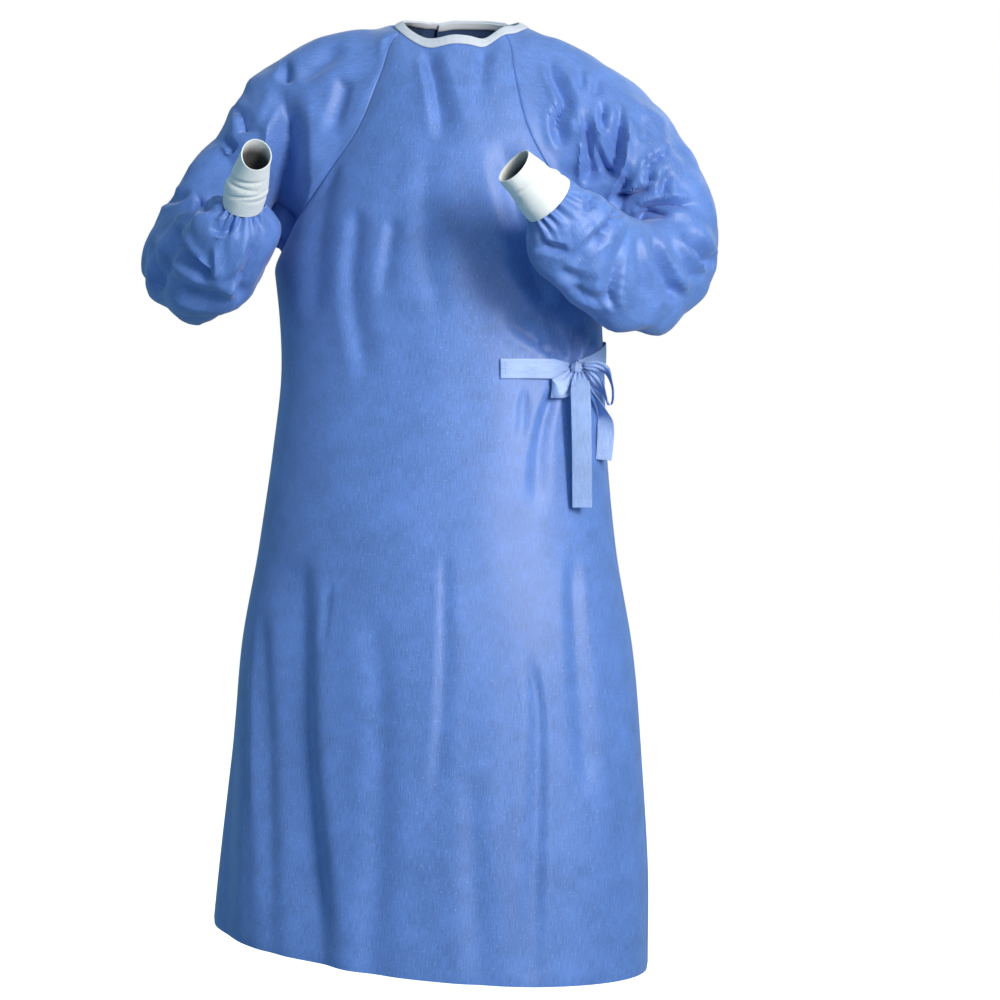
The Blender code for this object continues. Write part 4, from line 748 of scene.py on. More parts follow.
# How much deeper the creases of each cloth are pressed than their rows say; how far their sides
# reach, in half widths; how long their ends take to fade, and how much less long the deeper end
# takes; and below which height they meet the hem
CREASE_GAIN = {"right": 2.1, "left": 2.2, "body": 1.7}
CREASE_SPREAD = 2.8
CREASE_TAPER = 55.0
DEEP_END_TAPER = 0.45
HEM_UP = -1130.0
OWN_LEAN = 0.2
HEM_HOLD = 0.45
HEM_FREE = 0.13


def press_creases(cloth):
    """Presses the creases of each side into the cloth that faces it."""
    total = np.zeros(len(cloth.points))
    for turn, creases in ((VIEW_TURN, FRONT_CREASES), (BACK_TURN, BACK_CREASES)):
        near = np.array([math.sin(turn), -math.cos(turn), 0.0])
        facing = smoothstep(cloth.normals @ near / 0.35)
        flat = picture_plane(cloth.points, turn)
        for crease in creases:
            if crease.where == cloth.where:
                chosen, depth = crease_depths(crease, cloth, flat, facing)
                total[chosen] += depth
    if cloth.where == "body":
        total = total * mix(HEM_HOLD, 1.0, smoothstep((cloth.points[:, 2] - LEVELS[0].z_mid) / HEM_FREE))
    cloth.points = cloth.points - total[:, None] * cloth.normals


def unevenness(points):
    """Soft swells of a cloth that hangs free: longer up and down than across."""
    x, y, z = points.T
    swell = np.sin(31 * x + 5 * z + 1.3) * np.sin(23 * y - 7 * z) + 0.7 * np.sin(53 * x - 9 * z + 2.1 * np.sin(4 * z))
    swell += 0.5 * np.sin(71 * x + 61 * y + 11 * z) * np.sin(17 * z + 9 * x)
    return 0.0006 * swell


def crumple(cloth):
    """Fine creases of a bent sleeve: small facets, stronger towards the elbow and forearm."""
    x, y, z = cloth.points.T
    warp = 0.9 * np.sin(19 * x + 7 * z) + 0.8 * np.sin(23 * z - 11 * y + 1.0) + 0.5 * np.sin(41 * y + 9 * x)
    waves = (
        (62, 18, 34, 0.3, 1.0), (-38, 44, 52, 1.7, 0.9), (24, -70, 48, 2.9, 0.7), (80, 60, -30, 4.1, 0.5),
        (-95, 20, 84, 0.9, 0.4), (50, 90, 100, 5.2, 0.35),
    )
    total = np.zeros(len(x))
    for across, deep, up, phase, share in waves:
        patch = 0.5 + 0.5 * np.sin(0.31 * across * z + 0.27 * up * x + 0.2 * deep * y + 2 * phase)
        facets = np.arcsin(np.sin(across * x + deep * y + up * z + phase + 1.2 * warp))
        total += share * patch * facets
    where = smoothstep((cloth.reach - 0.12) / 0.25) * smoothstep((1.0 - cloth.reach) / 0.08)
    cloth.points = cloth.points + (CRUMPLE * total * mix(0.25, 1.0, where) * cloth.free)[:, None] * cloth.normals


CRUMPLE = 0.0023


def in_halves(corners):
    """Each four-cornered face as two of three corners."""
    return np.concatenate([corners[:, [0, 1, 2]], corners[:, [0, 2, 3]]])


def wall(cloth, thickness, painted_shade):
    """The closed wall of a piece as points, faces and places on the flat cloth, with the painted shade of each point:
    none on the outer skin, and the given share on the inner one, as if little light reached inside."""
    count = len(cloth.points)
    inner = cloth.points - thickness * cloth.normals
    start, end = cloth.boundary()
    flat = np.zeros((count, 2))
    flat[cloth.faces.ravel()] = cloth.flats.reshape(-1, 2)
    rim = np.stack([end, start, start + count, end + count], axis=1)
    rim_flat = np.stack([flat[end], flat[start], flat[start], flat[end]], axis=1)
    points = np.concatenate([cloth.points, inner])

    # Both skins are split along the same diagonals, so that neither shows through the other
    skin, skin_flat = in_halves(cloth.faces), in_halves(cloth.flats)
    faces = np.concatenate([skin, skin[:, ::-1] + count, in_halves(rim)])
    flats = np.concatenate([skin_flat, skin_flat[:, ::-1], in_halves(rim_flat)])
    return points, faces, flats, np.concatenate([np.zeros(count), np.broadcast_to(painted_shade, count)])


def mesh_object(name, points, faces, flats, painted_shade, finish, sharp=75):
    mesh = bpy.data.meshes.new(name)
    mesh.from_pydata(np.asarray(points).tolist(), [], np.asarray(faces).tolist())
    layer = mesh.uv_layers.new(name="cloth")
    layer.data.foreach_set("uv", np.asarray(flats, np.float32).ravel())
    # Painted shade of each point, by which the materials darken the cloth's colour
    shade = mesh.attributes.new("painted_shade", "FLOAT", "POINT")
    shade.data.foreach_set("value", np.asarray(painted_shade, np.float32))
    mesh.shade_smooth()
    mesh.set_sharp_from_angle(angle=math.radians(sharp))
    mesh.materials.append(finish)
    made = bpy.data.objects.new(name, mesh)
    bpy.context.scene.collection.objects.link(made)
    return made


def neck_sag(cloth):
    """The soft waves of the neck edge: the cloth there sags and rises a few millimetres."""
    x, y, z = cloth.points.T
    across = (x * math.cos(VIEW_TURN) + y * math.sin(VIEW_TURN)) * 1000
    near_neck = smoothstep((z - NECK_SAG_FOOT) / NECK_SAG_FADE)
    in_front = smoothstep(0.5 - y / 0.05)
    for waves, share in ((FRONT_NECK_WAVES, in_front), (BACK_NECK_WAVES, 1 - in_front)):
        for middle, width, height in waves + SIDE_NECK_WAVES:
            wave = height * 0.001 * np.exp(-(((across - middle) / width) ** 2))
            cloth.points[:, 2] += near_neck * share * wave


# Waves of the neck edge in millimetres: middle, width and height
FRONT_NECK_WAVES = ((-46, 20, -5), (-12, 14, 2), (26, 14, -6.5), (54, 12, 4))
BACK_NECK_WAVES = ((-33, 14, -4.2), (56, 16, -3))
SIDE_NECK_WAVES = ((-90, 18, 7), (84, 14, 4))
NECK_SAG_FOOT = -0.085
NECK_SAG_FADE = 0.055


# Cuffs, binding, ties

def cuff_cloth(name, stations, cuff, side):
    """A rib knit tube from the sleeve's end to its own opening, with a few soft rucks across it."""
    count = SLEEVE_COLUMNS * CUFF_STEPS
    angles = np.linspace(0, 2 * math.pi, count, endpoint=False)
    middle, reach, forward = station_frame(stations, len(stations) - 1, cuff, side)
    axis, reach, forward = unit(cuff.axis), unit(reach), unit(forward)
    shares = np.linspace(0, 1, CUFF_ROWS + 1)
    radii = through([0, 0.5, 1], [[[cuff.base]], [[cuff.middle]], [[cuff.opening]]], shares)[:, 0, 0]
    down, turn = np.meshgrid(shares, angles, indexing="ij")
    radius = np.broadcast_to(radii[:, None], down.shape).copy()
    for place, slope, phase, depth, width in RUCKS[name]:
        line = place + slope * np.sin(turn - phase)
        strength = 0.45 + 0.55 * np.cos(turn - phase)
        radius -= depth * strength * np.exp(-(((down - line) / width) ** 2))
    bunch = BUNCH[name]
    edge = bunch.place + bunch.slope * np.sin(turn - bunch.turn)
    radius += bunch.height * smoothstep((edge - down) / 0.09)
    radius += RIB_HEIGHT * np.cos(RIBS * turn) * smoothstep(down / 0.04) * smoothstep((1 - down) / 0.03)
    wave = OPENING_WAVE * np.sin(2 * turn + 0.6) * smoothstep((down - 0.6) / 0.4)
    radial = np.cos(turn)[..., None] * -reach + np.sin(turn)[..., None] * forward
    centre = middle + axis * (SEAM_GAP + down * cuff.length + wave)[..., None]
    offset = radius[..., None] * radial
    sideways = np.array([math.cos(VIEW_TURN), math.sin(VIEW_TURN), 0.0])
    squeeze = bunch.squeeze * smoothstep((down - 0.25) / 0.75)[..., None]
    offset = offset * (1 + 0.35 * squeeze) - 1.35 * squeeze * (offset @ sideways)[..., None] * sideways
    nearer = np.array([math.sin(VIEW_TURN), -math.cos(VIEW_TURN), 0.0])
    slant = bunch.slant * (radial @ nearer) * down**2
    grid = centre + offset + bunch.lean * down[..., None] ** 1.5 * sideways - slant[..., None] * axis
    cloth = Cloth(name, "cuff")
    index = cloth.add_points(grid, 0.0, 1.0)
    closed = np.concatenate([index, index[:, :1]], axis=1)
    places = np.linspace(0, 2 * math.pi * cuff.middle, count + 1)
    flat = np.stack(np.broadcast_arrays(places[None], (shares * cuff.length)[:, None]), axis=-1)
    cloth.add_faces(closed, flat)
    # Painted shade on the cuff's inner skin: none at its opening, growing over a short depth inside it, as if little
    # light reached there
    cloth.painted_shade = CUFF_PAINTED_SHADE * smoothstep((1 - down) * cuff.length / CUFF_PAINTED_SHADE_DEPTH).ravel()
    if side > 0:
        cloth.flip()
    return cloth


# Rucks across a cuff: place from the sleeve to the opening, slope, the turn round the cuff where
# they are deepest, depth and width
RUCKS = {
    "cuff_right": (
        (0.60, 0.12, 1.9, 0.0026, 0.035), (0.47, 0.10, 1.4, 0.0024, 0.028),
        (0.33, 0.12, 2.3, 0.0020, 0.030), (0.28, -0.04, 4.6, 0.0014, 0.040),
    ),
    "cuff_left": (
        (0.22, 0.07, 1.2, 0.0016, 0.040), (0.44, -0.06, 0.4, 0.0024, 0.032), (0.60, 0.08, 1.6, 0.0014, 0.035),
        (0.72, 0.04, 3.9, 0.0012, 0.040),
    ),
}
# Where a cuff is bunched up towards the sleeve: place, slope, the turn where it reaches furthest, and
# height; then how much its opening is squeezed across, how far that leans towards the viewer's right,
# and how far its edge drops in front and rises behind
Bunch = namedtuple("Bunch", "place slope turn height squeeze lean slant")
BUNCH = {
    "cuff_right": Bunch(0.46, 0.10, 1.2, 0.0012, 0.24, 0.008, 0.006),
    "cuff_left": Bunch(0.40, 0.07, 0.5, 0.0022, 0.0, 0.0, 0.0),
}
# Painted shade on inner skins: its strength deep in a cuff, the depth from the opening over which it grows, and its
# strength inside the gown
CUFF_PAINTED_SHADE = 0.96
CUFF_PAINTED_SHADE_DEPTH = 0.020
GOWN_PAINTED_SHADE = 0.80
SHELL = 0.0006
BINDING_INNER_FOOT = 0.42
RIBS = 72
RIB_HEIGHT = 0.00022
OPENING_WAVE = 0.0007


def collar_columns(outer, inner, front, left, right):
    """The neck edge's points and the collar's foot, with the ways out, from the outer back's free
    end over the right shoulder, the front and the left shoulder to the inner back's free end."""
    runs = [
        (outer, slice(None, None, -1)), (right, slice(-2, None, -1)), (front, slice(1, None)),
        (left, slice(1, None)), (inner, slice(-2, None, -1)),
    ]
    gathered = []
    for cloth, part in runs:
        top, foot = cloth.collar[0][part], cloth.collar[1][part]
        gathered.append((cloth.points[top], cloth.points[foot], cloth.normals[top], cloth.normals[foot]))
    return [np.concatenate(parts) for parts in zip(*gathered)]


def binding_section(columns):
    """Bias tape folded over the neck edge. Returns its section points, and the line of its stitches."""
    tops, feet, top_out, foot_out = columns
    up = unit(tops - feet)
    leg = BINDING_LEG / COLLAR_DEPTH
    low, low_out = mix(tops, feet, leg), mix(top_out, foot_out, leg)
    middle_out = -CLOTH / 2
    half = CLOTH / 2 + BINDING_GAP
    outline = []
    for height, stand in ((0.0, 0.55), (0.05, 0.95), (0.18, 1.05), (0.45, 1.15), (0.75, 1.25), (1.0, 1.1)):
        outline.append((height, half + BINDING_WALL * stand, 0.0))
    for turn in (40, 75, 105, 140):
        angle = math.radians(turn)
        reach = half + BINDING_WALL * 1.1
        outline.append((1.0, reach * math.cos(angle), BINDING_GAP + 0.8 * reach * math.sin(angle)))
    outline += [(height, -half - BINDING_WALL, 0.0) for height in (1.0, 0.7, BINDING_INNER_FOOT + 0.04)]
    outline += [(BINDING_INNER_FOOT, -half - BINDING_WALL / 2, 0.0), (BINDING_INNER_FOOT, -half, 0.0)]
    outline += [(1.0, -half, BINDING_GAP / 2)]
    outline += [(1.0, half, BINDING_GAP / 2), (0.0, half, 0.0)]
    pucker = 0.00025 * np.sin(np.arange(len(tops)) * 1.9) + 0.0002 * np.sin(np.arange(len(tops)) * 0.7 + 1)
    lines = []
    for height, out, over in outline:
        place = mix(low, tops, height)
        way = mix(low_out, top_out, height)
        lift = pucker * (out > half + BINDING_WALL) * math.sin(math.pi * min(height, 1))
        lines.append(place + way * (middle_out + out + lift)[:, None] + up * over)
    stitches = mix(low, tops, 0.17) + mix(low_out, top_out, 0.17) * (middle_out + half + BINDING_WALL * 1.08)
    return np.stack(lines, axis=1), stitches


def tube_faces(section):
    """Faces, with both ends closed, of a long piece given by its sections."""
    rows, sides = section.shape[:2]
    index = np.arange(rows * sides).reshape(rows, sides)
    index = np.concatenate([index, index[:, :1]], axis=1)
    along = lengths_along(section).mean(axis=1)
    around = np.concatenate([[0], np.cumsum(np.linalg.norm(np.diff(section, axis=1), axis=-1).mean(axis=0))])
    around = np.concatenate([around, [around[-1] + around[1]]])
    flat = np.stack(np.broadcast_arrays(around[None], along[:, None]), axis=-1)
    return index, quads(index), quads(flat)


def tube_object(name, section, finish, sharp=50):
    """A long piece from its sections, its faces turned out."""
    index, faces, flats = tube_faces(section)
    sides = section.shape[1]
    mesh = bpy.data.meshes.new(name)
    ends = [index[0, :sides].tolist(), index[-1, :sides].tolist()]
    mesh.from_pydata(section.reshape(-1, 3).tolist(), [], faces.tolist() + ends)
    layer = mesh.uv_layers.new(name="cloth")
    caps = np.tile(flats[0, 0], (2 * sides, 1))
    layer.data.foreach_set("uv", np.concatenate([flats.reshape(-1, 2), caps]).astype(np.float32).ravel())
    work = bmesh.new()
    work.from_mesh(mesh)
    bmesh.ops.recalc_face_normals(work, faces=work.faces)
    work.to_mesh(mesh)
    work.free()
    mesh.shade_smooth()
    mesh.set_sharp_from_angle(angle=math.radians(sharp))
    mesh.materials.append(finish)
    made = bpy.data.objects.new(name, mesh)
    bpy.context.scene.collection.objects.link(made)
    return made


def strap_section(middles, across, widths, outward=None, side_bend=0.0):
    """A flat strap with turned hems along both edges, pleated where it is pinched narrow."""
    along = unit(np.gradient(middles, axis=0))
    across = unit(across)
    across = unit(across - (across * along).sum(axis=1, keepdims=True) * along)
    facing = unit(np.cross(along, across))
    if outward is not None and (facing[0] @ np.asarray(outward)) < 0:
        facing = -facing
    widths = np.asarray(widths)
    pinch = np.clip(1 - widths / (0.82 * TIE_WIDTH), 0, 1)[:, None]
    places = np.linspace(-1, 1, STRAP_COLUMNS)[None]
    hem = STRAP_HEM * smoothstep((np.abs(places) - 0.62) / 0.05)
    pleat = STRAP_PLEAT * pinch * np.cos(math.pi * (2.5 * places + 0.3))
    cup = -0.0006 * places**2 * (1 - pinch)
    lift = hem + pleat + cup
    outer = middles[:, None] + across[:, None] * (places * widths[:, None] / 2)[..., None]
    outer = outer + facing[:, None] * lift[..., None]
    inner = outer - facing[:, None] * STRAP
    return np.concatenate([outer, inner[:, ::-1]], axis=1), facing


STRAP_COLUMNS = 17
STRAP_HEM = 0.00025
STRAP_PLEAT = 0.0035


class Surface:
    """What a strap lies on: the outermost of some pieces, met from outside."""

    def __init__(self, cloths):
        points, faces = [], []
        for cloth in cloths:
            faces += (cloth.faces + len(points)).tolist()
            points += cloth.points.tolist()
        self.tree = BVHTree.FromPolygons(points, faces)

    def from_side(self, axis_x, angle, z):
        """Distance from the body's axis to its skin, at an angle from the front towards +X."""
        away = Vector((math.sin(angle), -math.cos(angle), 0.0))
        hit = self.tree.ray_cast(Vector((axis_x, 0.0, z)) + away, -away)
        return 1.0 - hit[3]


def body_axis(z):
    heights = [level.z_mid for level in LEVELS]
    middles = [(level.x_right + level.x_left) / 2 for level in LEVELS]
    return float(np.interp(z, heights, middles))


def angle_of(x, y, z):
    return math.atan2(x - body_axis(z), -y)


def lying(surface, angles, heights, lifts, bridge):
    """Middles of a strap's outer face, where it lies on the body round the axis. It bridges steps,
    such as a panel's free edge, from the given count of places on each side."""
    half = TIE_WIDTH / 2
    reach = []
    for angle, z in zip(angles, heights):
        steps = np.linspace(-half, half, 5)
        reach.append(max(surface.from_side(body_axis(z), angle, z + step) for step in steps))
    padded = np.pad(reach, bridge + 1, mode="edge")
    widest = np.max([padded[shift : shift + len(reach) + 2] for shift in range(2 * bridge + 1)], axis=0)
    reach = (widest[:-2] + widest[1:-1] + widest[2:]) / 3
    reach = reach + lifts + STRAP
    axes = np.array([body_axis(z) for z in heights])
    return np.stack([axes + reach * np.sin(angles), -reach * np.cos(angles), heights], axis=-1)


def tie_sections(cloths):
    """Sections of the two waist ties, which lie on the gown and meet at the knot."""
    surface = Surface(cloths)
    knot, half = np.array(KNOT_CENTRE), np.array(KNOT_HALF)
    up = np.array([0.0, 0.0, 1.0])
    count = 56
    start = angle_of(*TIE_FRONT_START, TIE_Z)
    end = angle_of(knot[0] - half[0] - SEAM_GAP, knot[1], TIE_Z)
    shares = np.linspace(0, 1, count)
    lifts = mix(TIE_CLEARANCE, TIE_LIFT, smoothstep(1.6 * shares - 0.4))
    widths = mix(TIE_WIDTH, TIE_PINCHED, smoothstep(3.5 * shares - 2.5))
    middles = lying(surface, mix(start, end, shares), np.full(count, TIE_Z), lifts, 3)
    front, front_out = strap_section(middles, np.tile(up, (count, 1)), widths, (0, -1, 0))
    count = 110
    start = angle_of(knot[0] + half[0] + SEAM_GAP, knot[1] + half[1] / 2, TIE_Z)
    shares = np.linspace(0, 1, count)
    heights = mix(knot[2] + TIE_SIDE_RISE / 8, knot[2] + TIE_SIDE_RISE, smoothstep(1.5 * shares))
    lifts = mix(TIE_CLEARANCE, TIE_LIFT, smoothstep(1 - 6 * shares))
    widths = mix(TIE_PINCHED, TIE_WIDTH, smoothstep(4 * shares))
    middles = lying(surface, mix(start, TIE_SIDE_END, shares), heights, lifts, 6)
    side, side_out = strap_section(middles, np.tile(up, (count, 1)), widths, (1, -1, 0))
    return {"tie_front": (front, front_out), "tie_side": (side, side_out)}


def bow_section(name):
    bends = BOW_STRAPS[name]
    rows = np.array(bends)[:, None]
    route = through(np.arange(len(bends)), rows, finer(np.arange(len(bends)), 12))[:, 0]
    middles = np.array(KNOT_CENTRE) + route[:, :3]
    return strap_section(middles, route[:, 3:6], route[:, 6], BOW_FACING[name])


def knot_object(finish):
    """The knot: one strap pulled over the other, with the pleats that it draws."""
    work = bmesh.new()
    bmesh.ops.create_uvsphere(work, u_segments=64, v_segments=40, radius=1.0)
    for vertex in work.verts:
        x, y, z = vertex.co
        size = (abs(x) ** 2.6 + abs(y) ** 2.6 + abs(z) ** 2.6) ** (1 / 2.6)
        band = smoothstep(1.2 - 2.2 * abs(x / size - 0.1))
        pleats = 0.06 * band * math.cos(11 * x / size) + 0.05 * (1 - band) * math.cos(9 * z / size)
        scale = (0.80 + 0.16 * band + pleats) / size
        vertex.co = [part * scale * half for part, half in zip((x, y, z), KNOT_HALF)]
        vertex.co += Vector(KNOT_CENTRE)
    mesh = bpy.data.meshes.new("tie_knot_cloth")
    work.to_mesh(mesh)
    work.free()
    flats = mesh.uv_layers.new(name="cloth")
    places = np.array([tuple(mesh.vertices[loop.vertex_index].co) for loop in mesh.loops])
    flats.data.foreach_set("uv", places[:, [0, 2]].astype(np.float32).ravel())
    mesh.shade_smooth()
    mesh.materials.append(finish)
    made = bpy.data.objects.new("tie_knot_cloth", mesh)
    bpy.context.scene.collection.objects.link(made)
    return made


# Materials

class Value:
    """A value in a material's nodes, for arithmetic."""

    def __init__(self, tree, socket):
        self.tree = tree
        self.socket = socket

    def apply(self, kind, *parts):
        node = self.tree.nodes.new("ShaderNodeMath")
        node.operation = kind
        for place, part in zip(node.inputs, parts):
            if isinstance(part, Value):
                self.tree.links.new(part.socket, place)
            else:
                place.default_value = part
        return Value(self.tree, node.outputs[0])

    def __add__(self, other):
        return self.apply("ADD", self, other)

    def __radd__(self, other):
        return self.apply("ADD", other, self)

    def __sub__(self, other):
        return self.apply("SUBTRACT", self, other)

    def __rsub__(self, other):
        return self.apply("SUBTRACT", other, self)

    def __mul__(self, other):
        return self.apply("MULTIPLY", self, other)

    def __rmul__(self, other):
        return self.apply("MULTIPLY", other, self)

    def __truediv__(self, other):
        return self.apply("DIVIDE", self, other)

    def sine(self):
        return self.apply("SINE", self)

    def between(self, low, high):
        """0 up to low, 1 from high on, smooth between them."""
        node = self.tree.nodes.new("ShaderNodeMapRange")
        node.interpolation_type = "SMOOTHSTEP"
        node.inputs["From Min"].default_value = low
        node.inputs["From Max"].default_value = high
        self.tree.links.new(self.socket, node.inputs["Value"])
        return Value(self.tree, node.outputs["Result"])


class Finish:
    """A material being made from its nodes."""

    def __init__(self, name):
        self.material = bpy.data.materials.new(name)
        self.material.use_nodes = True
        self.tree = self.material.node_tree
        self.shader = self.tree.nodes["Principled BSDF"]

    def node(self, kind, links=(), **settings):
        made = self.tree.nodes.new(kind)
        for name, value in settings.items():
            setattr(made, name, value)
        for name, value in dict(links).items():
            if isinstance(value, Value):
                self.tree.links.new(value.socket, made.inputs[name])
            else:
                made.inputs[name].default_value = value
        return made

    def value(self, node, output):
        return Value(self.tree, node.outputs[output])

    def flat_places(self):
        """Places on the flat cloth in metres: across and along."""
        uv = self.node("ShaderNodeUVMap", uv_map="cloth")
        parts = self.node("ShaderNodeSeparateXYZ", {"Vector": self.value(uv, "UV")})
        return self.value(parts, "X"), self.value(parts, "Y")

    def noise(self, x, y, z=0.0, detail=2.0, roughness=0.5, distortion=0.0):
        place = self.node("ShaderNodeCombineXYZ", {"X": x, "Y": y, "Z": z})
        settings = {
            "Vector": self.value(place, "Vector"), "Scale": 1.0, "Detail": detail,
            "Roughness": roughness, "Distortion": distortion,
        }
        return self.value(self.node("ShaderNodeTexNoise", settings), 0)

    def painted_shade(self):
        """Painted shade of a point inside the gown or a cuff, as if little light reached it."""
        return self.value(self.node("ShaderNodeAttribute", attribute_name="painted_shade"), "Fac")

    def object_noise(self, scale, detail=2.0):
        place = self.node("ShaderNodeTexCoord")
        settings = {"Vector": self.value(place, "Object"), "Scale": scale, "Detail": detail}
        return self.value(self.node("ShaderNodeTexNoise", settings), 0)

    def colour(self, low, high, share):
        made = self.node("ShaderNodeMix", data_type="RGBA")
        self.tree.links.new(share.socket, made.inputs[0])
        for place, value in ((6, low), (7, high)):
            if isinstance(value, Value):
                self.tree.links.new(value.socket, made.inputs[place])
            else:
                made.inputs[place].default_value = (*value, 1.0)
        return Value(self.tree, made.outputs[2])

    def bump(self, height, distance, strength=1.0):
        made = self.node("ShaderNodeBump", {"Height": height, "Distance": distance, "Strength": strength})
        return self.value(made, "Normal")

    def finish(self, **inputs):
        names = {
            "colour": "Base Color", "roughness": "Roughness", "normal": "Normal",
            "sheen": "Sheen Weight", "sheen_roughness": "Sheen Roughness", "specular": "Specular IOR Level",
        }
        for key, value in inputs.items():
            socket = self.shader.inputs[names[key]]
            if isinstance(value, Value):
                self.tree.links.new(value.socket, socket)
            else:
                socket.default_value = value
        return self.material


def tinted(colour, share):
    return tuple(part * share for part in colour)


def nonwoven(name, colour, streak=1.0, fleck=1.0):
    """Pressed fibre cloth: streaks along it, small pale flecks and dark pits, and a soft mottle, with painted shade
    where a piece carries it.
    """
    made = Finish(name)
    u, v = made.flat_places()
    streaks = made.noise(u * 900.0, v * 62.0, detail=3.0, roughness=0.6)
    fibres = made.noise(u * 2100.0, v * 420.0, 3.0, detail=2.0)
    mottle = made.object_noise(34.0, 3.0)
    clouds = made.object_noise(7.0, 2.0)
    flecks = made.noise(u * 480.0, v * 300.0, 7.0, detail=1.0).between(0.66, 0.73)
    pits = made.noise(u * 760.0, v * 260.0, 11.0, detail=1.0).between(0.64, 0.74)
    tone = (streaks - 0.5) * (1.15 * streak) + (fibres - 0.5) * 0.5 + (mottle - 0.5) * 0.55 + (clouds - 0.5) * 0.30
    share = (tone + 0.5).between(0.05, 0.95)
    plain = made.colour(tinted(colour, 0.74), tinted(colour, 1.28), share)
    pale = tuple(mix(part, 1.0, 0.42) for part in colour)
    lit = made.colour(plain, pale, flecks * (0.32 * fleck))
    worn = made.colour(lit, tinted(colour, 0.62), pits * (0.35 * streak))
    # Painted shade: the colour darkens towards a tenth of itself where a piece's inner skin would get little light
    final = made.colour(worn, tinted(colour, 0.10), made.painted_shade())
    height = streaks * 0.6 + fibres * 0.4 + flecks * 0.4
    return made.finish(
        colour=final, roughness=0.52 + (streaks - 0.5) * 0.2, normal=made.bump(height, 0.00022, 0.55),
        sheen=0.26, sheen_roughness=0.40, specular=0.60,
    )


def knitted(name, colour):
    """Rib knit: fine ribs along, small loops between them, and painted shade deep inside the cuff."""
    made = Finish(name)
    u, v = made.flat_places()
    drift = made.noise(u * 90.0, v * 90.0, detail=2.0) * 1.6
    loops = (v * (2 * math.pi / 0.0013) + drift + (u * (2 * math.pi / 0.00125)).sine() * 1.1).sine() * 0.5 + 0.5
    wales = (u * (2 * math.pi / 0.00125) + drift).sine() * 0.5 + 0.5
    fuzz = made.noise(u * 2600.0, v * 1500.0, 2.0, detail=2.0)
    mottle = made.object_noise(60.0, 2.0)
    share = loops * 0.30 + wales * 0.30 + fuzz * 0.30 + mottle * 0.25
    ribbed = made.colour(tinted(colour, 0.80), tinted(colour, 1.06), share.between(0.15, 0.85))
    # Painted shade: the knit darkens almost to black deep inside the cuff
    final = made.colour(ribbed, tinted(colour, 0.03), made.painted_shade())
    height = loops * 0.5 + wales * 0.7 + fuzz * 0.3
    return made.finish(
        colour=final, roughness=0.88, normal=made.bump(height, 0.00035, 0.6),
        sheen=0.25, sheen_roughness=0.5, specular=0.25,
    )


def taped(name, colour):
    """Bias tape: a fine, speckled weave."""
    made = Finish(name)
    u, v = made.flat_places()
    warp = ((u + v) * (2 * math.pi / 0.0009)).sine() * 0.5 + 0.5
    weft = ((u - v) * (2 * math.pi / 0.0009)).sine() * 0.5 + 0.5
    specks = made.noise(u * 1500.0, v * 1100.0, detail=2.0, roughness=0.7)
    share = warp * 0.25 + weft * 0.25 + specks * 0.7
    final = made.colour(tinted(colour, 0.70), tinted(colour, 1.18), share.between(0.2, 0.95))
    return made.finish(
        colour=final, roughness=0.8, normal=made.bump(warp + weft + specks, 0.00020, 0.5),
        sheen=0.15, sheen_roughness=0.5, specular=0.3,
    )


def thread(name, colour):
    made = Finish(name)
    twist = made.object_noise(2200.0, 1.0)
    final = made.colour(tinted(colour, 0.8), tinted(colour, 1.1), twist)
    return made.finish(colour=final, roughness=0.6, specular=0.4)


# Stitches

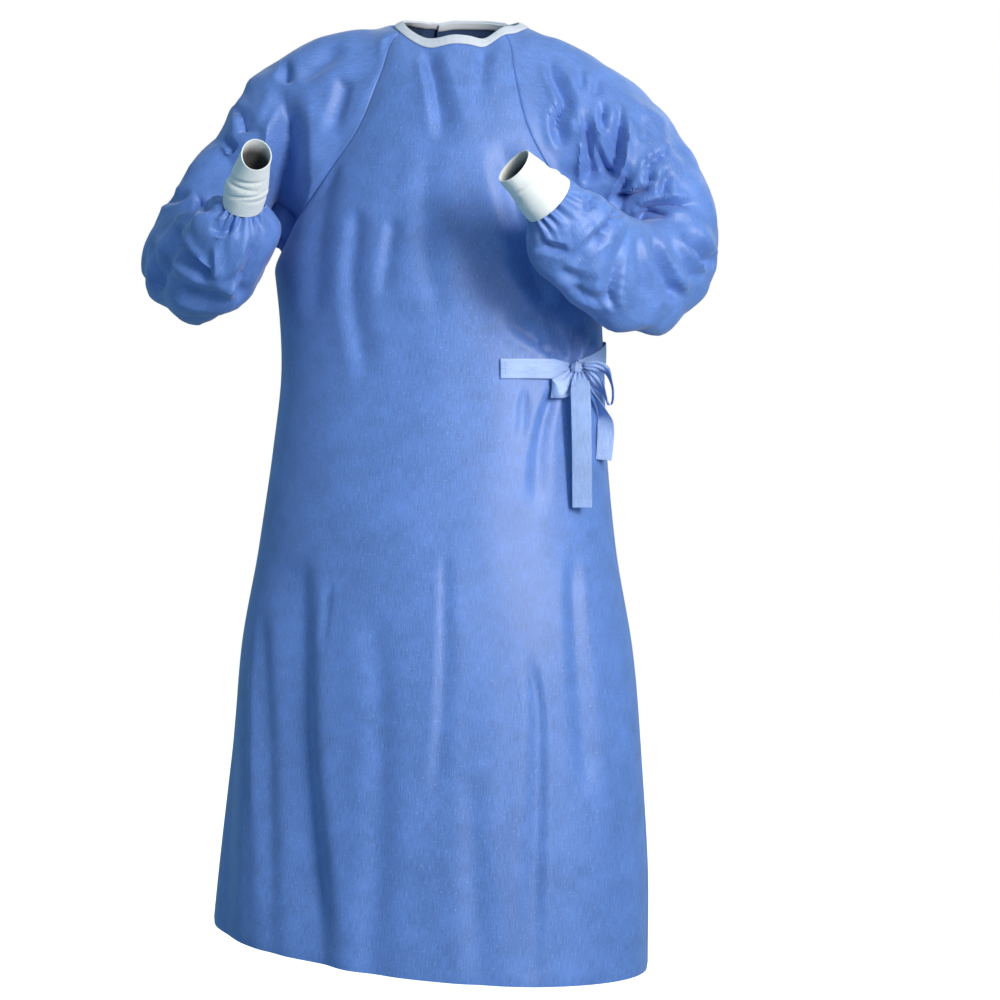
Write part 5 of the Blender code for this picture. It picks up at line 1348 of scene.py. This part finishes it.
def stitch_tree():
    """Short threads on points: each lies along its point's own way, raised off the cloth."""
    tree = bpy.data.node_groups.new("stitches", "GeometryNodeTree")
    face = tree.interface
    face.new_socket("Geometry", in_out="INPUT", socket_type="NodeSocketGeometry")
    for name in ("Length", "Thickness"):
        face.new_socket(name, in_out="INPUT", socket_type="NodeSocketFloat")
    face.new_socket("Thread", in_out="INPUT", socket_type="NodeSocketMaterial")
    face.new_socket("Geometry", in_out="OUTPUT", socket_type="NodeSocketGeometry")
    nodes, links = tree.nodes, tree.links
    given = nodes.new("NodeGroupInput")
    result = nodes.new("NodeGroupOutput")
    ball = nodes.new("GeometryNodeMeshUVSphere")
    ball.inputs["Segments"].default_value = 8
    ball.inputs["Rings"].default_value = 6
    ball.inputs["Radius"].default_value = 0.5
    smooth = nodes.new("GeometryNodeSetShadeSmooth")
    links.new(ball.outputs["Mesh"], smooth.inputs[0])
    way = nodes.new("GeometryNodeInputNamedAttribute")
    way.data_type = "FLOAT_VECTOR"
    way.inputs["Name"].default_value = "way"
    out = nodes.new("GeometryNodeInputNamedAttribute")
    out.data_type = "FLOAT_VECTOR"
    out.inputs["Name"].default_value = "out"
    first = nodes.new("FunctionNodeAlignRotationToVector")
    first.axis = "X"
    links.new(way.outputs["Attribute"], first.inputs["Vector"])
    second = nodes.new("FunctionNodeAlignRotationToVector")
    second.axis = "Z"
    second.pivot_axis = "X"
    links.new(first.outputs["Rotation"], second.inputs["Rotation"])
    links.new(out.outputs["Attribute"], second.inputs["Vector"])
    uneven = nodes.new("FunctionNodeRandomValue")
    uneven.data_type = "FLOAT"
    for socket in uneven.inputs:
        if socket.name == "Min" and socket.type == "VALUE":
            socket.default_value = 0.85
        if socket.name == "Max" and socket.type == "VALUE":
            socket.default_value = 1.1
        if socket.name == "Seed":
            socket.default_value = 4
    chance = next(socket for socket in uneven.outputs if socket.type == "VALUE" and socket.enabled)
    length = nodes.new("ShaderNodeMath")
    length.operation = "MULTIPLY"
    links.new(given.outputs["Length"], length.inputs[0])
    links.new(chance, length.inputs[1])
    size = nodes.new("ShaderNodeCombineXYZ")
    links.new(length.outputs[0], size.inputs["X"])
    links.new(given.outputs["Thickness"], size.inputs["Y"])
    links.new(given.outputs["Thickness"], size.inputs["Z"])
    place = nodes.new("GeometryNodeInstanceOnPoints")
    links.new(given.outputs["Geometry"], place.inputs["Points"])
    links.new(smooth.outputs[0], place.inputs["Instance"])
    links.new(second.outputs["Rotation"], place.inputs["Rotation"])
    links.new(size.outputs[0], place.inputs["Scale"])
    real = nodes.new("GeometryNodeRealizeInstances")
    links.new(place.outputs["Instances"], real.inputs["Geometry"])
    paint = nodes.new("GeometryNodeSetMaterial")
    links.new(real.outputs["Geometry"], paint.inputs["Geometry"])
    links.new(given.outputs["Thread"], paint.inputs["Material"])
    links.new(paint.outputs["Geometry"], result.inputs["Geometry"])
    return tree


def even_line(points, outs, pitch, offset=0.0):
    """Places a pitch apart along a line, with their ways along it and out of the cloth."""
    lengths = np.concatenate([[0], np.cumsum(np.linalg.norm(np.diff(points, axis=0), axis=1))])
    at = np.arange(offset, lengths[-1], pitch)
    places = np.stack([np.interp(at, lengths, points[:, axis]) for axis in range(3)], axis=1)
    ahead = np.stack([np.interp(at + pitch / 3, lengths, points[:, axis]) for axis in range(3)], axis=1)
    back = np.stack([np.interp(at - pitch / 3, lengths, points[:, axis]) for axis in range(3)], axis=1)
    outs = np.stack([np.interp(at, lengths, outs[:, axis]) for axis in range(3)], axis=1)
    return places, unit(ahead - back), unit(outs)


def stitches(name, lines, length, thickness, finish, tree):
    """Threads along lines of (places, ways, outs)."""
    places, ways, outs = (np.concatenate(parts) for parts in zip(*lines))
    mesh = bpy.data.meshes.new(name)
    mesh.from_pydata(places.tolist(), [], [])
    for label, values in (("way", ways), ("out", outs)):
        layer = mesh.attributes.new(label, "FLOAT_VECTOR", "POINT")
        layer.data.foreach_set("vector", values.astype(np.float32).ravel())
    seeds = bpy.data.objects.new(name + "_places", mesh)
    bpy.context.scene.collection.objects.link(seeds)
    modifier = seeds.modifiers.new("stitches", "NODES")
    modifier.node_group = tree
    values = {"Length": length, "Thickness": thickness, "Thread": finish}
    for item in tree.interface.items_tree:
        if item.in_out == "INPUT" and item.name in values:
            modifier[item.identifier] = values[item.name]
    bpy.context.view_layer.update()
    graph = bpy.context.evaluated_depsgraph_get()
    made = bpy.data.meshes.new_from_object(seeds.evaluated_get(graph))
    bpy.data.objects.remove(seeds)
    result = bpy.data.objects.new(name, made)
    bpy.context.scene.collection.objects.link(result)
    return result


# Stage

def look_at(made, place, target):
    made.location = place
    away = Vector(place) - Vector(target)
    made.rotation_euler = away.to_track_quat("Z", "Y").to_euler()


def area_light(name, place, target, size, power, colour=(1.0, 1.0, 1.0), spread=180.0):
    light = bpy.data.lights.new(name, "AREA")
    light.shape = "RECTANGLE"
    light.size, light.size_y = size
    light.energy = power
    light.spread = math.radians(spread)
    light.color = colour
    made = bpy.data.objects.new(name, light)
    bpy.context.scene.collection.objects.link(made)
    look_at(made, place, target)


def build_stage():
    scene = bpy.context.scene
    scene.view_settings.view_transform = "Standard"
    world = bpy.data.worlds.new("studio")
    scene.world = world
    world.use_nodes = True
    nodes, links = world.node_tree.nodes, world.node_tree.links
    back = nodes["Background"]
    path = nodes.new("ShaderNodeLightPath")
    level = nodes.new("ShaderNodeMapRange")
    level.inputs["To Min"].default_value = WORLD_LIGHT
    level.inputs["To Max"].default_value = 1.0
    links.new(path.outputs["Is Camera Ray"], level.inputs["Value"])
    links.new(level.outputs["Result"], back.inputs["Strength"])
    tint = nodes.new("ShaderNodeMix")
    tint.data_type = "RGBA"
    tint.inputs[6].default_value = (*SKY_TINT, 1.0)
    tint.inputs[7].default_value = (1.0, 1.0, 1.0, 1.0)
    links.new(path.outputs["Is Camera Ray"], tint.inputs[0])
    links.new(tint.outputs[2], back.inputs["Color"])

    floor_mesh = bpy.data.meshes.new("floor")
    work = bmesh.new()
    bmesh.ops.create_circle(work, cap_ends=True, segments=96, radius=FLOOR_RADIUS)
    work.to_mesh(floor_mesh)
    work.free()
    floor = bpy.data.objects.new("floor", floor_mesh)
    floor.location = (0.0, 0.0, FLOOR_Z)
    scene.collection.objects.link(floor)
    white = Finish("floor")
    white.shader.inputs["Base Color"].default_value = (0.9, 0.9, 0.9, 1.0)
    white.shader.inputs["Roughness"].default_value = 1.0
    white.shader.inputs["Emission Color"].default_value = (1.0, 1.0, 1.0, 1.0)
    white.shader.inputs["Emission Strength"].default_value = 0.9
    floor_mesh.materials.append(white.material)
    floor.visible_diffuse = False
    floor.visible_glossy = False

    area_light("key", (2.45, -2.4, 0.55), (0.0, 0.0, -0.5), (0.8, 1.3), KEY_POWER, (1.0, 0.94, 0.87))
    area_light("fill", (-2.2, -2.6, -0.1), (0.0, 0.0, -0.6), (2.0, 2.4), FILL_POWER, (0.94, 0.97, 1.0))
    area_light("patch", (1.45, -2.75, -0.2), (0.05, -0.1, -0.52), (0.4, 0.5), PATCH_POWER, (1.0, 0.84, 0.72), 15.0)
    area_light("back", (1.2, 2.8, 1.2), (0.0, 0.0, -0.5), (1.6, 2.0), BACK_POWER)
    area_light("top", (0.3, -0.3, 2.2), (0.0, 0.0, -0.3), (1.6, 1.6), TOP_POWER)

    camera = bpy.data.cameras.new("camera")
    camera.sensor_width = SENSOR
    camera.lens = SENSOR * VIEW_DISTANCE / VIEW_WIDTH
    camera.shift_x = VIEW_RIGHT / VIEW_WIDTH
    camera.shift_y = -(VIEW_DOWN + VIEW_HEIGHT) / VIEW_WIDTH
    camera.clip_end = 50.0
    held = bpy.data.objects.new("camera", camera)
    scene.collection.objects.link(held)
    away = Vector((math.sin(VIEW_TURN), -math.cos(VIEW_TURN), 0.0))
    look_at(held, Vector((0.0, 0.0, VIEW_HEIGHT)) + away * VIEW_DISTANCE, (0.0, 0.0, VIEW_HEIGHT))
    scene.camera = held


WORLD_LIGHT = 0.38
SKY_TINT = (0.38, 0.75, 1.0)
FLOOR_Z = -1.5
FLOOR_RADIUS = 6.0
KEY_POWER = 138.0
FILL_POWER = 7.0
PATCH_POWER = 0.15
BACK_POWER = 20.0
TOP_POWER = 10.0


# The gown

def dip_edges(cloth):
    """Draws the edges of a piece in a little, so that each seam shows as a line."""
    start, _ = cloth.boundary()
    cloth.points[start] -= SEAM_DIP * cloth.normals[start]


def place(made, node, slot, held):
    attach(made, "root")
    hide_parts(node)


def build_gown():
    gown = nonwoven("gown_cloth", GOWN_BLUE)
    ties = nonwoven("tie_cloth", TIE_BLUE, 0.7, 0.8)
    knit = knitted("cuff_knit", CUFF_WHITE)
    tape = taped("binding_tape", BINDING_WHITE)
    blue_thread_hem_shade = thread("thread_blue_hem_shade", THREAD_BLUE_HEM_SHADE)
    white_thread = thread("thread_white", THREAD_WHITE)

    front = front_cloth()
    outer, inner = back_cloths()
    left = sleeve_cloth("sleeve_left", "left", SLEEVE_LEFT, CUFF_LEFT, 1)
    right = sleeve_cloth("sleeve_right", "right", SLEEVE_RIGHT, CUFF_RIGHT, -1)
    sewn = [front, outer, inner, left, right]
    share_normals(sewn)
    for cloth in sewn:
        neck_sag(cloth)
        press_creases(cloth)
        swell = unevenness(cloth.points) * cloth.free
        cloth.points = cloth.points + swell[:, None] * cloth.normals
    share_normals(sewn)
    crumple(left)
    crumple(right)
    share_normals(sewn)
    for cloth, cuff in ((left, CUFF_LEFT), (right, CUFF_RIGHT)):
        gather(cloth, cuff.base)
    share_normals(sewn)
    columns = collar_columns(outer, inner, front, left, right)
    surface_cloths = [front, outer, inner]
    for cloth in sewn:
        dip_edges(cloth)
    share_normals(sewn)
    # The inner skin of each piece carries painted shade
    for cloth in sewn:
        made = mesh_object(cloth.name + "_cloth", *wall(cloth, SHELL, GOWN_PAINTED_SHADE), gown)
        place(made, cloth.name, "gown_cloth", "draped")

    for name, stations, cuff, side in (
        ("cuff_left", SLEEVE_LEFT, CUFF_LEFT, 1), ("cuff_right", SLEEVE_RIGHT, CUFF_RIGHT, -1),
    ):
        cloth = cuff_cloth(name, stations, cuff, side)
        share_normals([cloth])
        made = mesh_object(name + "_knit", *wall(cloth, KNIT, cloth.painted_shade), knit)
        place(made, name, "cuff_knit", "gathered")

    section, stitch_line = binding_section(columns)
    made = tube_object("neck_binding_tape", section, tape)
    tree = stitch_tree()
    place(made, "neck_binding", "binding_tape", "draped")
    line = even_line(stitch_line, columns[3], 0.0042)
    threads = stitches("binding_stitches", [line], 0.0031, 0.00055, white_thread, tree)
    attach(threads, "root")

    sections = tie_sections(surface_cloths)
    for name in BOW_STRAPS:
        sections[name] = bow_section(name)
    for name, (section, _) in sections.items():
        made = tube_object(name + "_cloth", section, ties)
        place(made, name, "tie_cloth", "draped")
    knot = knot_object(ties)
    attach(knot, "root")
    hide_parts("tie_knot")

    lines = []
    section, facing = sections["tie_front"]
    for row in (1, 4):
        across = section[row, 2 : STRAP_COLUMNS - 2] + facing[row] * 0.0002
        lines.append(even_line(across, np.tile(facing[row], (len(across), 1)), 0.0028))
    sewn_end = stitches("tie_front_stitches", lines, 0.0022, 0.00050, blue_thread_hem_shade, tree)
    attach(sewn_end, "root")
    lines = []
    for name in ("bow_tail_front", "bow_tail_side"):
        section, facing = sections[name]
        lengths = lengths_along(section).mean(axis=1)
        row = int(np.argmin(np.abs(lengths[-1] - lengths - 0.012)))
        across = section[row, 1 : STRAP_COLUMNS - 1] + facing[row] * 0.0002
        lines.append(even_line(across, np.tile(facing[row], (len(across), 1)), 0.0028))
    hems = stitches("tail_stitches", lines, 0.0021, 0.00045, blue_thread_hem_shade, tree)
    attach(hems, "root")


# The fields of a piece's cut as it shows: across and along, and its area where it isn't a rectangle
Cut = namedtuple("Cut", "across along area")

build_gown()
build_stage()
